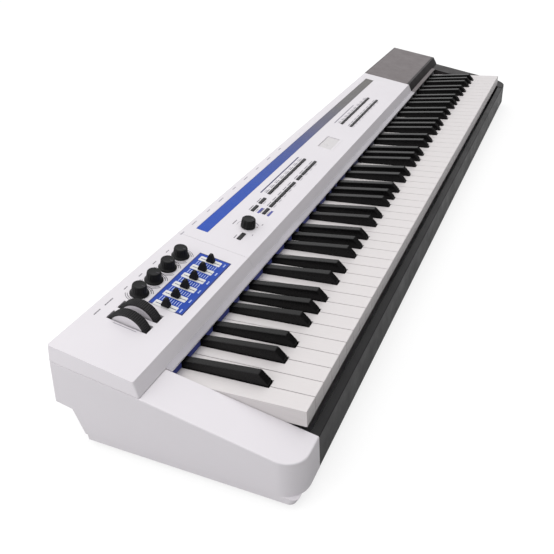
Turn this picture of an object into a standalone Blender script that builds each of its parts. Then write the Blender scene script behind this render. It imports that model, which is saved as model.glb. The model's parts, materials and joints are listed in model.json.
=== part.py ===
"""Digital stage piano with 88 keys: white case, dark right end, wheels, knobs, sliders and buttons.

The file builds the instrument as separate closed solids, one object per piece. Lengths are in
millimetres and MM turns them into Blender's metres. A place is given as (x, y, z): x runs along the
length from the middle, towards the treble end; y runs back from the front edge of the case; z runs
up from the underside of the case. The row frame's origin is under the middle of the whole object.
"""
import math

import bmesh
import bpy
import numpy as np
from mathutils import Matrix, Vector

MM = 0.001

# Driving dimensions
KEY_PITCH = 23.5                 # width of one natural key with its gap
NATURALS = 52                    # 88 keys have 52 naturals and 36 sharps
BLOCK_W = 50.0                   # width of each end block
DEPTH = 287.0                    # front edge to the rear step
FOOT_H = 5.0                     # rubber feet below the case
WALL = 2.8                       # wall of the plastic shells
FIT = 0.3                        # gap between pieces that touch

KEY_SPAN = NATURALS * KEY_PITCH
HALF_SPAN = KEY_SPAN / 2
HALF_LENGTH = HALF_SPAN + BLOCK_W

# Side profile of the case, as (y, z)
FRONT_LOW_Z = 7.8                # front edge above the underside
FRONT_TOP_Z = 49.7               # top of the end blocks at the front
TRAY_FRONT = (8.5, 0.0)          # front edge of the underside
TRAY_TOP = (3.9, 8.6)            # top of the tray's front, tucked under the end blocks and the slip
TRAY_INSET = 0.4                 # the tray stands in from the end blocks' outer walls
SHOULDER = (170.5, 84.9)         # where the end block meets the top case
SEAM_REAR = (279.3, 102.5)       # rear end of the seam below the top case
REAR_STEP = (DEPTH, 45.8)        # lower rear corner, the deepest point
REAR_SLANT = (264.9, 40.9)       # top of the slanted rear underside
FLOOR_REAR_Y = 253.0             # rear end of the flat underside
SIDE_LEAN = 0.005                # inward lean of the end blocks' outer walls
CORNER_R = 26.0                  # vertical front corner of each end block
TRAY_CORNER_R = 6.0              # vertical front corner of the tray below it
REAR_CORNER_R = 2.0              # vertical rear corners of the end blocks and the top case
SEAM_GAP = 1.0                   # shadow gap between the end blocks and the top case

# Top case
CREST = (177.6, 101.1)           # front edge of the sloping panel
PANEL_REAR = (279.5, 121.0)      # rear edge of the sloping panel
SIDE_CHAMFER = 4.0               # chamfer along the outer ends of the top case
CAP_X = 409.0                    # joint between the white top case and the dark right cap
LEDGE_FRONT_Y = 162.8            # lip that reaches over the keys
LIP_Z = (83.4, 84.6)             # underside and top of the lip's front edge
FELT_Y = (165.2, 167.2)          # felt that hangs behind the lip
FELT_Z = (72.9, 83.5)
FELT_NOTCH_HALF = 6.3            # half width of the gap that the felt leaves for a sharp
FELT_NOTCH_Z = 82.0

# Keys
KEY_FRONT_Y = 12.5
KEY_FRONT_Z = 77.1               # top of a natural at its front edge
KEY_FALL = 0.0318                # the key tops fall by this much per mm towards the rear
KEY_THICK = 20.0
HEAD_END_Y = 62.2                # where a natural narrows to pass the sharps
SHARP_FRONT_Y = 63.7
SHARP_W = 10.9
SHARP_TOP_W = 9.3
SHARP_RISE = (13.4, 8.4)         # sharp above natural near the front and at the lip
SHARP_SLOPE_Y = 10.3             # depth of a sharp's sloping front face
STEM_END_Y = 236.0
RAIL_Y = (240.0, 248.0)
RAIL_H = 4.5
RAIL_Z = {"naturals_cegb": 51.0, "naturals_dfa": 57.0, "sharps": 63.0}
KEY_HINGE = (244.0, 58.0)
KEY_GAP = 0.4                    # half of the gap between two naturals
SHARP_SHIFT = {"C": -2.6, "D": 2.6, "F": -3.6, "G": 0.0, "A": 3.6}

# Controls on the sloping panel
WHEEL_Y = 230.5
WHEEL_SINK = 12.0                # wheel centre below the panel surface
WHEEL_R = 26.0
WHEEL_W = 12.0
WHEEL_X = {"pitch_bend_wheel": -582.5, "modulation_wheel": -561.8}
WHEEL_AXLE_R = 2.5
KNOB_X = [-534.9 + 30.3 * i for i in range(4)]
KNOB_Y = 249.5
KNOB_R = 11.4
KNOB_H = 13.3
VOLUME_XY = (-331.5, 210.6)
SHAFT_R = 3.0
SHAFT_HOLE_R = 3.6
PLATE_X = (-543.0, -423.0)
PLATE_Y = (189.0, 233.2)
SLIDER_X = [-538.3 + 20.85 * i for i in range(6)]
SLIDER_Y = 212.5
SLIDER_TRAVEL = 12.0
STEM_REACH = 2.0                 # half the length of a slider's stem
SLOT_W = 3.0
SLOT_END = 1.3                   # spare length at each end of a slot
SLIDER_BASE = (6.6, 10.2)        # width and depth of a slider's cap
SLIDER_TIP = (4.6, 3.6)
SLIDER_H = 12.0
STRIPE_X = (-376.5, 375.0)
STRIPE_Y = (248.0, 265.5)
INLAY_DEPTH = 1.2                # recess that holds the stripe and the slider plate
WINDOW_X = (-24.5, 26.0)
WINDOW_Y = (203.0, 226.0)
POWER_X = (-368.0, -350.5)
POWER_Y = 207.0
POWER_DEPTH = 5.5
BUTTON_DEPTH = 4.6               # front to back size of the narrow buttons
BUTTON_PROUD = 1.3
BUTTON_CLEAR = 0.35              # gap between a button and its hole
BUTTON_SPACING = 1.9             # from one button to the next in a run
# Each moulding is a list of runs: left end, pitch, number of buttons, place from the front
BUTTON_RUNS = {
    "mode_buttons": [(-291.0, 26.0, 2, 224.0)],
    "left_buttons_upper": [(-231.5, 18.3, 8, 225.0)],
    "left_buttons_lower": [(-289.0, 20.0, 1, 207.5), (-265.0, 18.7, 5, 207.5), (-163.5, 20.0, 1, 207.5),
                           (-142.0, 20.0, 3, 207.5)],
    "right_buttons_upper": [(95.0, 17.8, 6, 224.8), (203.0, 20.6, 3, 224.8)],
    "right_buttons_lower": [(95.0, 17.8, 6, 206.8), (203.0, 20.6, 3, 206.8)],
}
BUTTON_MAX = 18.6                # longest button in a run

# Rear connectors
JACK_PLATE_X = (-400.0, -130.0)
JACK_PLATE_UP = (9.0, 41.0)      # along the sloping rear wall, from the rear step
JACK_HOLES = [-378.0 + 32.0 * i for i in range(8)]
JACK_R = 5.0
FOOT_X = 540.0
FOOT_YS = (38.0, 226.0)
FOOT_R = 12.0

SLOT_HALF = SLIDER_TRAVEL + STEM_REACH + SLOT_END
PANEL_RUN = PANEL_REAR[0] - CREST[0]
PANEL_TILT = math.atan2(PANEL_REAR[1] - CREST[1], PANEL_RUN)
LETTERS = "ABCDEFG"

PLASTIC_WHITE = ((0.80, 0.79, 0.82), 0.42, 0.0)
PLASTIC_DARK = ((0.085, 0.07, 0.075), 0.38, 0.0)
PLASTIC_BLACK = ((0.02, 0.02, 0.022), 0.45, 0.0)
PLASTIC_BLUE = ((0.05, 0.17, 0.62), 0.35, 0.0)
KEY_IVORY = ((0.83, 0.82, 0.80), 0.40, 0.0)
KEY_EBONY = ((0.018, 0.018, 0.02), 0.42, 0.0)
FELT_BLUE = ((0.04, 0.06, 0.42), 0.95, 0.0)
STEEL = ((0.55, 0.56, 0.58), 0.35, 1.0)
BOARD_GREEN = ((0.03, 0.20, 0.08), 0.50, 0.0)
GLASS_GREY = ((0.72, 0.73, 0.72), 0.12, 0.0)
RUBBER = ((0.03, 0.03, 0.03), 0.85, 0.0)


# ---- helpers -------------------------------------------------------------------------------------

def world(x, y, z):
    """Turn a place on the case into the row frame, in metres."""
    return Vector((x, y - DEPTH / 2, z + FOOT_H)) * MM


def on_panel(x, y, height=0.0):
    """A place on the sloping panel: y is measured level, height square to the surface."""
    rise = CREST[1] + (y - CREST[0]) * math.tan(PANEL_TILT)
    return (x, y - height * math.sin(PANEL_TILT), rise + height * math.cos(PANEL_TILT))


def make(name, bm, origin=(0.0, 0.0, 0.0)):
    """Store a bmesh built with world() places as an object whose origin is at the given place."""
    bmesh.ops.recalc_face_normals(bm, faces=bm.faces)
    bmesh.ops.translate(bm, verts=bm.verts, vec=-Vector(origin))
    mesh = bpy.data.meshes.new(name)
    bm.to_mesh(mesh)
    bm.free()
    obj = bpy.data.objects.new(name, mesh)
    obj.location = origin
    bpy.context.collection.objects.link(obj)
    return obj


def paint(obj, finish):
    """Give the object its own Principled material."""
    colour, roughness, metallic = finish
    material = bpy.data.materials.new(obj.name)
    material.use_nodes = True
    shader = material.node_tree.nodes["Principled BSDF"]
    shader.inputs["Base Color"].default_value = (*colour, 1.0)
    shader.inputs["Roughness"].default_value = roughness
    shader.inputs["Metallic"].default_value = metallic
    obj.data.materials.clear()
    obj.data.materials.append(material)
    return obj


def loft(bm, first, second):
    """Close the space between two outlines that have the same number of points."""
    low = [bm.verts.new(p) for p in first]
    high = [bm.verts.new(p) for p in second]
    count = len(low)
    bm.faces.new(low)
    bm.faces.new(high[::-1])
    for i in range(count):
        j = (i + 1) % count
        bm.faces.new((low[i], high[i], high[j], low[j]))


def prism(bm, outline, x0, x1):
    """Extrude an outline of (y, z) points along the length."""
    loft(bm, [world(x0, y, z) for y, z in outline], [world(x1, y, z) for y, z in outline])


def box(bm, x, y, z):
    """Add a box from three (low, high) pairs."""
    prism(bm, [(y[0], z[0]), (y[1], z[0]), (y[1], z[1]), (y[0], z[1])], x[0], x[1])


def panel_box(bm, x, y, height):
    """Add a box that lies square on the sloping panel."""
    corners = [(x[0], y[0]), (x[1], y[0]), (x[1], y[1]), (x[0], y[1])]
    loft(bm, [world(*on_panel(px, py, height[0])) for px, py in corners],
         [world(*on_panel(px, py, height[1])) for px, py in corners])


def thicken(path, wall):
    """Outline of a bent sheet: the path and the same path moved to its left by the wall."""
    points = [Vector(p) for p in path]
    moved = []
    for i, point in enumerate(points):
        before = (point - points[i - 1]).normalized() if i > 0 else None
        after = (points[i + 1] - point).normalized() if i < len(points) - 1 else None
        normals = [Vector((-d.y, d.x)) for d in (before, after) if d is not None]
        mean = sum(normals, Vector((0.0, 0.0))).normalized()
        moved.append(point + mean * wall / mean.dot(normals[0]))
    return [tuple(p) for p in points] + [tuple(p) for p in reversed(moved)]


def turned(bm, centre, tilt, profile, segments):
    """Revolve a profile of (radius, height) points about an axis tilted back from vertical."""
    turn = Matrix.Rotation(tilt, 3, "X")
    rings = []
    for radius, height in profile:
        if radius == 0.0:
            rings.append([bm.verts.new(Vector(centre) + turn @ Vector((0.0, 0.0, height)) * MM)])
            continue
        ring = []
        for k in range(segments):
            angle = 2 * math.pi * k / segments
            local = Vector((radius * math.cos(angle), radius * math.sin(angle), height))
            ring.append(bm.verts.new(Vector(centre) + turn @ local * MM))
        rings.append(ring)
    for low, high in zip(rings, rings[1:]):
        for k in range(segments):
            n = (k + 1) % segments
            if len(low) == 1:
                bm.faces.new((low[0], high[k], high[n]))
            elif len(high) == 1:
                bm.faces.new((low[k], low[n], high[0]))
            else:
                bm.faces.new((low[k], low[n], high[n], high[k]))


def combine(obj, tool, operation):
    """Join the tool to the object or cut it away, and drop the tool."""
    modifier = obj.modifiers.new(operation, "BOOLEAN")
    modifier.operation = operation
    modifier.object = tool
    modifier.solver = "EXACT"
    bpy.context.view_layer.update()
    graph = bpy.context.evaluated_depsgraph_get()
    mesh = bpy.data.meshes.new_from_object(obj.evaluated_get(graph))
    obj.modifiers.clear()
    obj.data = mesh
    bpy.data.objects.remove(tool)
    return obj


def tool_object(build, origin=(0.0, 0.0, 0.0)):
    """Build a helper solid that joins or cuts another."""
    bm = bmesh.new()
    build(bm)
    tool = make("tool", bm, origin)
    tool.hide_render = True
    tool.display_type = "WIRE"
    return tool


def smooth(obj, angle=40.0):
    obj.data.shade_smooth()
    obj.data.set_sharp_from_angle(angle=math.radians(angle))


# ---- case ----------------------------------------------------------------------------------------

def round_corner(bm, place, radius):
    """Round the upright edge that starts at the given (x, y), on the outside of the case."""
    near = Vector(world(place[0], place[1], 0.0)[:2])
    edges = [e for e in bm.edges if all((v.co.xy - near).length < 8 * MM for v in e.verts)
             and abs(e.verts[0].co.z - e.verts[1].co.z) > 5 * MM]
    segments = 6 if radius > 3.0 else 3
    bmesh.ops.bevel(bm, geom=edges, offset=radius * MM, segments=segments, profile=0.5, affect="EDGES")


def block_part(bm, side, outline, inset, corner, radius):
    """One level of an end block: its outer wall leans in and its front corner is round."""
    reach = HALF_LENGTH - inset
    outer = [world(side * (reach - SIDE_LEAN * z), y, z) for y, z in outline]
    inner = [world(side * HALF_SPAN, y, z) for y, z in outline]
    loft(bm, outer, inner)
    round_corner(bm, (side * reach, corner), radius)


def end_block(name, side, finish):
    """Closed end of the case: a large block, and the end of the tray that carries it."""
    rise = (REAR_SLANT[0] - FLOOR_REAR_Y) / REAR_SLANT[1]
    upper = [(0.0, FRONT_LOW_Z), (0.0, FRONT_TOP_Z), SHOULDER, SEAM_REAR, REAR_STEP, REAR_SLANT,
             (FLOOR_REAR_Y + rise * FRONT_LOW_Z, FRONT_LOW_Z)]
    lower = [TRAY_FRONT, TRAY_TOP, (FLOOR_REAR_Y, TRAY_TOP[1]), (FLOOR_REAR_Y, 0.0)]
    bm = bmesh.new()
    block_part(bm, side, upper, 0.0, 0.0, CORNER_R)
    round_corner(bm, (side * HALF_LENGTH, (SEAM_REAR[0] + REAR_STEP[0]) / 2), REAR_CORNER_R)
    obj = make(name, bm)
    tray = tool_object(lambda b: block_part(b, side, lower, TRAY_INSET, TRAY_FRONT[0], TRAY_CORNER_R))
    combine(obj, tray, "UNION")
    # The block is a hollow moulding, open towards the keys behind the front lip.
    pocket = [(28.0, 6.0), (28.0, 46.0), (160.0, 78.0), (240.0, 88.0), (240.0, 6.0)]
    reach = (side * (HALF_SPAN - 5.0), side * (HALF_LENGTH - 9.0))
    combine(obj, tool_object(lambda b: prism(b, pocket, *reach)), "DIFFERENCE")
    return paint(obj, finish)


def bottom_case():
    """Tray under the keys, from its front edge to the rear seam."""
    path = [(TRAY_TOP[0] + 1.0, TRAY_TOP[1] - 1.9), TRAY_FRONT, (FLOOR_REAR_Y, 0.0), REAR_SLANT, REAR_STEP,
            SEAM_REAR]
    bm = bmesh.new()
    prism(bm, thicken(path, WALL), -HALF_SPAN + FIT, HALF_SPAN - FIT)
    obj = make("bottom_case", bm)
    low, high = JACK_PLATE_UP
    opening = [rear_wall(low, -8.0), rear_wall(high, -8.0), rear_wall(high, 8.0), rear_wall(low, 8.0)]
    combine(obj, tool_object(lambda b: prism(b, opening, *JACK_PLATE_X)), "DIFFERENCE")
    return paint(obj, PLASTIC_WHITE)


def rear_wall(up, out):
    """A (y, z) place on the rear wall: up along it from the rear step, out square to it."""
    along = (Vector(SEAM_REAR) - Vector(REAR_STEP)).normalized()
    place = Vector(REAR_STEP) + along * up + Vector((along.y, -along.x)) * out
    return (place.x, place.y)


def jack_plate():
    """Recessed connector plate with a row of round sockets."""
    low, high = JACK_PLATE_UP[0] + FIT, JACK_PLATE_UP[1] - FIT
    outline = [rear_wall(low, -3.6), rear_wall(high, -3.6), rear_wall(high, -0.8), rear_wall(low, -0.8)]
    bm = bmesh.new()
    prism(bm, outline, JACK_PLATE_X[0] + FIT, JACK_PLATE_X[1] - FIT)
    obj = make("rear_jack_plate", bm)
    tilt = math.atan2(SEAM_REAR[1] - REAR_STEP[1], SEAM_REAR[0] - REAR_STEP[0])

    def sockets(b):
        for x in JACK_HOLES:
            y, z = rear_wall((low + high) / 2, -2.2)
            turned(b, world(x, y, z), tilt, [(0.0, -6.0), (JACK_R, -6.0), (JACK_R, 6.0), (0.0, 6.0)], 8)

    combine(obj, tool_object(sockets), "DIFFERENCE")
    return paint(obj, PLASTIC_BLACK)


def cover_outline(inset):
    """Side view of the top case: front slope, panel, rear wall. The underside follows the seam."""
    foot = (SHOULDER[0] + inset, SHOULDER[1] + SEAM_GAP)
    crest = (CREST[0] + inset * 0.9, CREST[1] - inset)
    rear = (PANEL_REAR[0] - inset, PANEL_REAR[1] - inset * 1.2)
    heel = (SEAM_REAR[0] - inset, SEAM_REAR[1] + SEAM_GAP)
    return [foot, crest, rear, heel]


def cover(name, x0, x1, outer_side, finish):
    """A length of the top case with a chamfered outer end and an open joint end."""
    bm = bmesh.new()
    outline = cover_outline(0.0)
    ends = []
    for x in (x0, x1):
        lean = abs(abs(x) - HALF_LENGTH) < 1.0
        shifts = [SIDE_LEAN * z + (SIDE_CHAMFER if lean and z > SEAM_REAR[1] - 5 and i in (1, 2) else 0.0)
                  for i, (y, z) in enumerate(outline)]
        ends.append([world(x - outer_side * shift if lean else x, y, z)
                     for shift, (y, z) in zip(shifts, outline)])
    loft(bm, ends[0], ends[1])
    round_corner(bm, (outer_side * HALF_LENGTH, SEAM_REAR[0]), REAR_CORNER_R)
    obj = make(name, bm)
    hollow = cover_outline(WALL)
    hollow[0] = (hollow[0][0], hollow[0][1] - 8.0)
    hollow[3] = (hollow[3][0], hollow[3][1] - 8.0)
    end_wall = HALF_LENGTH - 14.0
    if outer_side < 0:
        span = (-end_wall, x1 + 5.0)
    else:
        span = (x0 - 5.0, end_wall)
    combine(obj, tool_object(lambda b: prism(b, hollow, *span)), "DIFFERENCE")
    lip = [(LEDGE_FRONT_Y, LIP_Z[0]), (173.0, 85.0), (173.0, 86.8), (LEDGE_FRONT_Y, LIP_Z[1])]
    if outer_side < 0:
        lip_span = (-HALF_SPAN + FIT, x1)
    else:
        lip_span = (x0, HALF_SPAN - FIT)
    combine(obj, tool_object(lambda b: prism(b, lip, *lip_span)), "UNION")
    return paint(obj, finish)


def top_case():
    """White top case with every recess and hole that the panel needs."""
    obj = cover("top_case", -HALF_LENGTH, CAP_X, -1, PLASTIC_WHITE)

    def recesses(b):
        panel_box(b, PLATE_X, PLATE_Y, (-INLAY_DEPTH, 4.0))
        panel_box(b, STRIPE_X, STRIPE_Y, (-INLAY_DEPTH, 4.0))

    def holes(b):
        for x in WHEEL_X.values():
            half = WHEEL_W / 2 + 1.2
            panel_box(b, (x - half, x + half), (WHEEL_Y - 25.4, WHEEL_Y + 25.4), (-8.0, 4.0))
        for x in SLIDER_X:
            panel_box(b, (x - SLOT_W / 2 - 0.5, x + SLOT_W / 2 + 0.5),
                      (SLIDER_Y - SLOT_HALF - 0.5, SLIDER_Y + SLOT_HALF + 0.5), (-8.0, 4.0))
        panel_box(b, WINDOW_X, WINDOW_Y, (-8.0, 4.0))
        half = POWER_DEPTH / 2 + BUTTON_CLEAR
        panel_box(b, (POWER_X[0] - BUTTON_CLEAR, POWER_X[1] + BUTTON_CLEAR),
                  (POWER_Y - half, POWER_Y + half), (-8.0, 4.0))
        for runs in BUTTON_RUNS.values():
            for x, width, y in buttons_in(runs):
                half = BUTTON_DEPTH / 2 + BUTTON_CLEAR
                panel_box(b, (x - BUTTON_CLEAR, x + width + BUTTON_CLEAR), (y - half, y + half), (-8.0, 4.0))
        for x, y in [(x, KNOB_Y) for x in KNOB_X] + [VOLUME_XY]:
            turned(b, world(*on_panel(x, y)), PANEL_TILT,
                   [(0.0, -8.0), (SHAFT_HOLE_R, -8.0), (SHAFT_HOLE_R, 4.0), (0.0, 4.0)], 12)

    combine(obj, tool_object(recesses), "DIFFERENCE")
    combine(obj, tool_object(holes), "DIFFERENCE")
    return obj


def key_slip():
    """Black front rail below the front ends of the keys."""
    outline = [(0.0, 8.4), (0.0, 49.2), (10.0, 51.0), (10.0, 48.4), (WALL, 46.8), (WALL, 11.0), (8.0, 11.0),
               (8.0, 8.4)]
    bm = bmesh.new()
    prism(bm, outline, -HALF_SPAN + FIT, HALF_SPAN - FIT)
    return paint(make("key_slip", bm), PLASTIC_BLACK)


def key_felt():
    """Blue felt that hangs behind the lip, down to the naturals, with a notch for every sharp."""
    low, high = FELT_Z
    outline = [(-HALF_SPAN + FIT, high), (-HALF_SPAN + FIT, low)]
    for n in range(NATURALS):
        centre = sharp_centre(n)
        if centre is not None:
            left, right = centre - FELT_NOTCH_HALF, centre + FELT_NOTCH_HALF
            outline += [(left, low), (left, FELT_NOTCH_Z), (right, FELT_NOTCH_Z), (right, low)]
    outline += [(HALF_SPAN - FIT, low), (HALF_SPAN - FIT, high)]
    bm = bmesh.new()
    loft(bm, [world(x, FELT_Y[0], z) for x, z in outline], [world(x, FELT_Y[1], z) for x, z in outline])
    return paint(make("key_felt", bm), FELT_BLUE)


def accent_strip():
    """Coloured strip laid into the rear of the panel."""
    bm = bmesh.new()
    panel_box(bm, (STRIPE_X[0] + FIT, STRIPE_X[1] - FIT), (STRIPE_Y[0] + FIT, STRIPE_Y[1] - FIT),
              (-INLAY_DEPTH + FIT, 0.1))
    return paint(make("accent_strip", bm), PLASTIC_BLUE)


def slider_plate():
    """Blue plate with the six slider slots."""
    bm = bmesh.new()
    panel_box(bm, (PLATE_X[0] + FIT, PLATE_X[1] - FIT), (PLATE_Y[0] + FIT, PLATE_Y[1] - FIT),
              (-INLAY_DEPTH + FIT, 0.3))
    obj = make("slider_plate", bm)

    def slots(b):
        for x in SLIDER_X:
            panel_box(b, (x - SLOT_W / 2, x + SLOT_W / 2), (SLIDER_Y - SLOT_HALF, SLIDER_Y + SLOT_HALF),
                      (-6.0, 4.0))

    combine(obj, tool_object(slots), "DIFFERENCE")
    return paint(obj, PLASTIC_BLUE)


def display_window():
    """Clear window over the display."""
    bm = bmesh.new()
    panel_box(bm, (WINDOW_X[0] + FIT, WINDOW_X[1] - FIT), (WINDOW_Y[0] + FIT, WINDOW_Y[1] - FIT), (-2.2, -0.2))
    return paint(make("display_window", bm), GLASS_GREY)


def foot(name, x, y):
    bm = bmesh.new()
    profile = [(0.0, -FOOT_H), (FOOT_R - 1.5, -FOOT_H), (FOOT_R, -FIT), (0.0, -FIT)]
    turned(bm, world(x, y, 0.0), 0.0, profile, 20)
    obj = make(name, bm)
    smooth(obj)
    return paint(obj, RUBBER)


# ---- inside --------------------------------------------------------------------------------------

def key_chassis():
    """Bent steel frame that carries the keys."""
    path = [(30.0, 42.0), (22.0, 42.0), (22.0, 5.0), (247.0, 5.0), (247.0, 46.0), (238.0, 46.0)]
    bm = bmesh.new()
    prism(bm, thicken(path, 1.6), -HALF_SPAN + 2.0, HALF_SPAN - 2.0)
    return paint(make("key_chassis", bm), STEEL)


def boards():
    """Key contact board, main board and display module."""
    bm = bmesh.new()
    box(bm, (-600.0, 600.0), (118.0, 160.0), (34.0, 35.6))
    paint(make("key_contact_board", bm), BOARD_GREEN)
    bm = bmesh.new()
    box(bm, (-200.0, 90.0), (190.0, 240.0), (82.0, 83.6))
    paint(make("main_board", bm), BOARD_GREEN)
    bm = bmesh.new()
    panel_box(bm, (WINDOW_X[0] - 4.0, WINDOW_X[1] + 4.0), (WINDOW_Y[0] - 4.0, WINDOW_Y[1] + 4.0), (-11.0, -4.0))
    paint(make("display_module", bm), GLASS_GREY)


def wheel_centre(x):
    return on_panel(x, WHEEL_Y, -WHEEL_SINK)


def wheel_bracket():
    """Bracket under the panel. The wheel axles snap into the open tops of its three cheeks."""
    _, y, z = wheel_centre(0.0)
    xs = sorted(WHEEL_X.values())
    cheek_x = (xs[0] - 9.0, (xs[0] + xs[1]) / 2, xs[1] + 9.0)
    web = y + WHEEL_R + 1.5
    low, high = z - 8.0, z + 1.2
    bm = bmesh.new()
    box(bm, (xs[0] - 11.0, xs[1] + 11.0), (web, web + 2.5), (low, high))
    obj = make("wheel_bracket", bm)

    def cheeks(b):
        for x in cheek_x:
            box(b, (x - 1.3, x + 1.3), (y - 5.0, web + 1.0), (low, high))

    def bores(b):
        rounded(b, xs[0] - 20.0, xs[1] + 20.0, y, z, WHEEL_AXLE_R + 0.4, 12)

    combine(obj, tool_object(cheeks), "UNION")
    combine(obj, tool_object(bores), "DIFFERENCE")
    return paint(obj, STEEL)


def rounded(bm, x0, x1, y, z, radius, segments):
    """Add a rod along the length."""
    ring = [(y + radius * math.cos(2 * math.pi * k / segments), z + radius * math.sin(2 * math.pi * k / segments))
            for k in range(segments)]
    prism(bm, ring, x0, x1)


# ---- moving controls -----------------------------------------------------------------------------

def wheel(name):
    """Bend or modulation wheel with its axle."""
    x, y, z = wheel_centre(WHEEL_X[name])
    half = WHEEL_W / 2
    segments = 36
    bm = bmesh.new()
    rounded(bm, x - half, x + half, y, z, WHEEL_R, segments)
    obj = make(name, bm, world(x, y, z))
    reach = half + 3.4
    combine(obj, tool_object(lambda b: rounded(b, x - reach, x + reach, y, z, WHEEL_AXLE_R, 12)), "UNION")
    smooth(obj)
    return paint(obj, PLASTIC_BLACK)


def knob(name, x, y):
    """Conical knob with a flared skirt, on its shaft."""
    profile = [(0.0, -9.0), (SHAFT_R, -9.0), (SHAFT_R, 0.5), (KNOB_R, 0.5), (KNOB_R, 1.8), (9.4, 3.4),
               (8.5, KNOB_H - 1.4), (7.4, KNOB_H), (0.0, KNOB_H)]
    bm = bmesh.new()
    centre = world(*on_panel(x, y))
    turned(bm, centre, PANEL_TILT, profile, 20)
    obj = make(name, bm, centre)
    smooth(obj)
    return paint(obj, PLASTIC_BLACK)


def slider(name, x):
    """Slider cap with a tall pyramid head, on a flat stem."""
    bm = bmesh.new()
    centre = world(*on_panel(x, SLIDER_Y))
    panel_box(bm, (x - 0.8, x + 0.8), (SLIDER_Y - STEM_REACH, SLIDER_Y + STEM_REACH), (-9.0, 2.0))
    obj = make(name, bm, centre)

    def cap(b):
        rings = []
        for (width, depth), level in ((SLIDER_BASE, 0.7), (SLIDER_BASE, 2.6), (SLIDER_TIP, SLIDER_H)):
            corners = [(-1, -1), (1, -1), (1, 1), (-1, 1)]
            rings.append([b.verts.new(world(*on_panel(x + cx * width / 2, SLIDER_Y + cy * depth / 2, level)))
                          for cx, cy in corners])
        b.faces.new(rings[0])
        b.faces.new(rings[-1])
        for low, high in zip(rings, rings[1:]):
            for k in range(4):
                n = (k + 1) % 4
                b.faces.new((low[k], low[n], high[n], high[k]))

    combine(obj, tool_object(cap), "UNION")
    return paint(obj, PLASTIC_BLACK)


def buttons_in(runs):
    """Left end, length and place from the front of every button in the runs."""
    return [(start + pitch * i, min(pitch - BUTTON_SPACING, BUTTON_MAX), y)
            for start, pitch, count, y in runs for i in range(count)]


def button_row(name, row):
    """Row of narrow buttons moulded on one web below the panel."""
    xs = [x for x, width, y in row] + [x + width for x, width, y in row]
    ys = [y for x, width, y in row]
    middle = ((min(xs) + max(xs)) / 2, (min(ys) + max(ys)) / 2)
    bm = bmesh.new()
    panel_box(bm, (min(xs) - 1.5, max(xs) + 1.5), (min(ys) - 3.5, max(ys) + 3.5), (-5.6, -4.0))
    centre = world(*on_panel(*middle))
    obj = make(name, bm, centre)

    def caps(b):
        for x, width, y in row:
            panel_box(b, (x, x + width), (y - BUTTON_DEPTH / 2, y + BUTTON_DEPTH / 2), (-5.0, BUTTON_PROUD))

    combine(obj, tool_object(caps), "UNION")
    return paint(obj, PLASTIC_BLACK)


# ---- keys ----------------------------------------------------------------------------------------

def boundary(n):
    """Left edge of natural n, counted from the bass end."""
    return -HALF_SPAN + KEY_PITCH * n


def letter(n):
    return LETTERS[n % 7]


def sharp_centre(n):
    """Middle of the sharp between natural n and n + 1, or None where there is none."""
    if letter(n) not in SHARP_SHIFT or n >= NATURALS - 1 or n < 0:
        return None
    return boundary(n + 1) + SHARP_SHIFT[letter(n)]


def key_top(y):
    return KEY_FRONT_Z - KEY_FALL * (y - KEY_FRONT_Y)


def natural(bm, n):
    """One natural key: a wide head, and a stem between the sharps."""
    left, right = boundary(n) + KEY_GAP, boundary(n + 1) - KEY_GAP
    clear = SHARP_W / 2 + 0.9
    before, after = sharp_centre(n - 1), sharp_centre(n)
    stem_left = before + clear if before is not None else left
    stem_right = after - clear if after is not None else right
    outline = [(left, KEY_FRONT_Y), (right, KEY_FRONT_Y)]
    if stem_right < right:
        outline += [(right, HEAD_END_Y), (stem_right, HEAD_END_Y)]
    outline += [(stem_right, STEM_END_Y), (stem_left, STEM_END_Y)]
    if stem_left > left:
        outline += [(stem_left, HEAD_END_Y), (left, HEAD_END_Y)]
    loft(bm, [world(x, y, key_top(y) - KEY_THICK) for x, y in outline],
         [world(x, y, key_top(y)) for x, y in outline])
    return stem_left, stem_right


def sharp(bm, n):
    """One sharp key: a tapered cap with a sloping front, and a low stem behind it."""
    x = sharp_centre(n)
    base, crown = SHARP_W / 2, SHARP_TOP_W / 2
    cap_end = STEM_END_Y
    front, slope = SHARP_FRONT_Y, SHARP_FRONT_Y + SHARP_SLOPE_Y
    rise_front, rise_rear = SHARP_RISE
    back = LEDGE_FRONT_Y + 2.0
    rows = [
        (front, base, key_top(front) - 14.0, key_top(front) - 2.0, key_top(front) + 0.5, base - 0.2),
        (slope, base, key_top(slope) - 14.0, key_top(slope) - 2.0, key_top(slope) + rise_front, crown),
        (back, base, key_top(back) - 14.0, key_top(back) - 2.0, key_top(back) + rise_rear, crown),
        (cap_end, base, key_top(cap_end) - 14.0, key_top(cap_end) - 2.0, key_top(cap_end) + 0.5, crown),
    ]
    rings = []
    for y, half, low, middle, high, top_half in rows:
        section = [(-half, low), (half, low), (half, middle), (top_half, high), (-top_half, high), (-half, middle)]
        rings.append([bm.verts.new(world(x + dx, y, z)) for dx, z in section])
    bm.faces.new(rings[0])
    bm.faces.new(rings[-1])
    for near, far in zip(rings, rings[1:]):
        for k in range(6):
            m = (k + 1) % 6
            bm.faces.new((near[k], near[m], far[m], far[k]))
    return x - base, x + base


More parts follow.
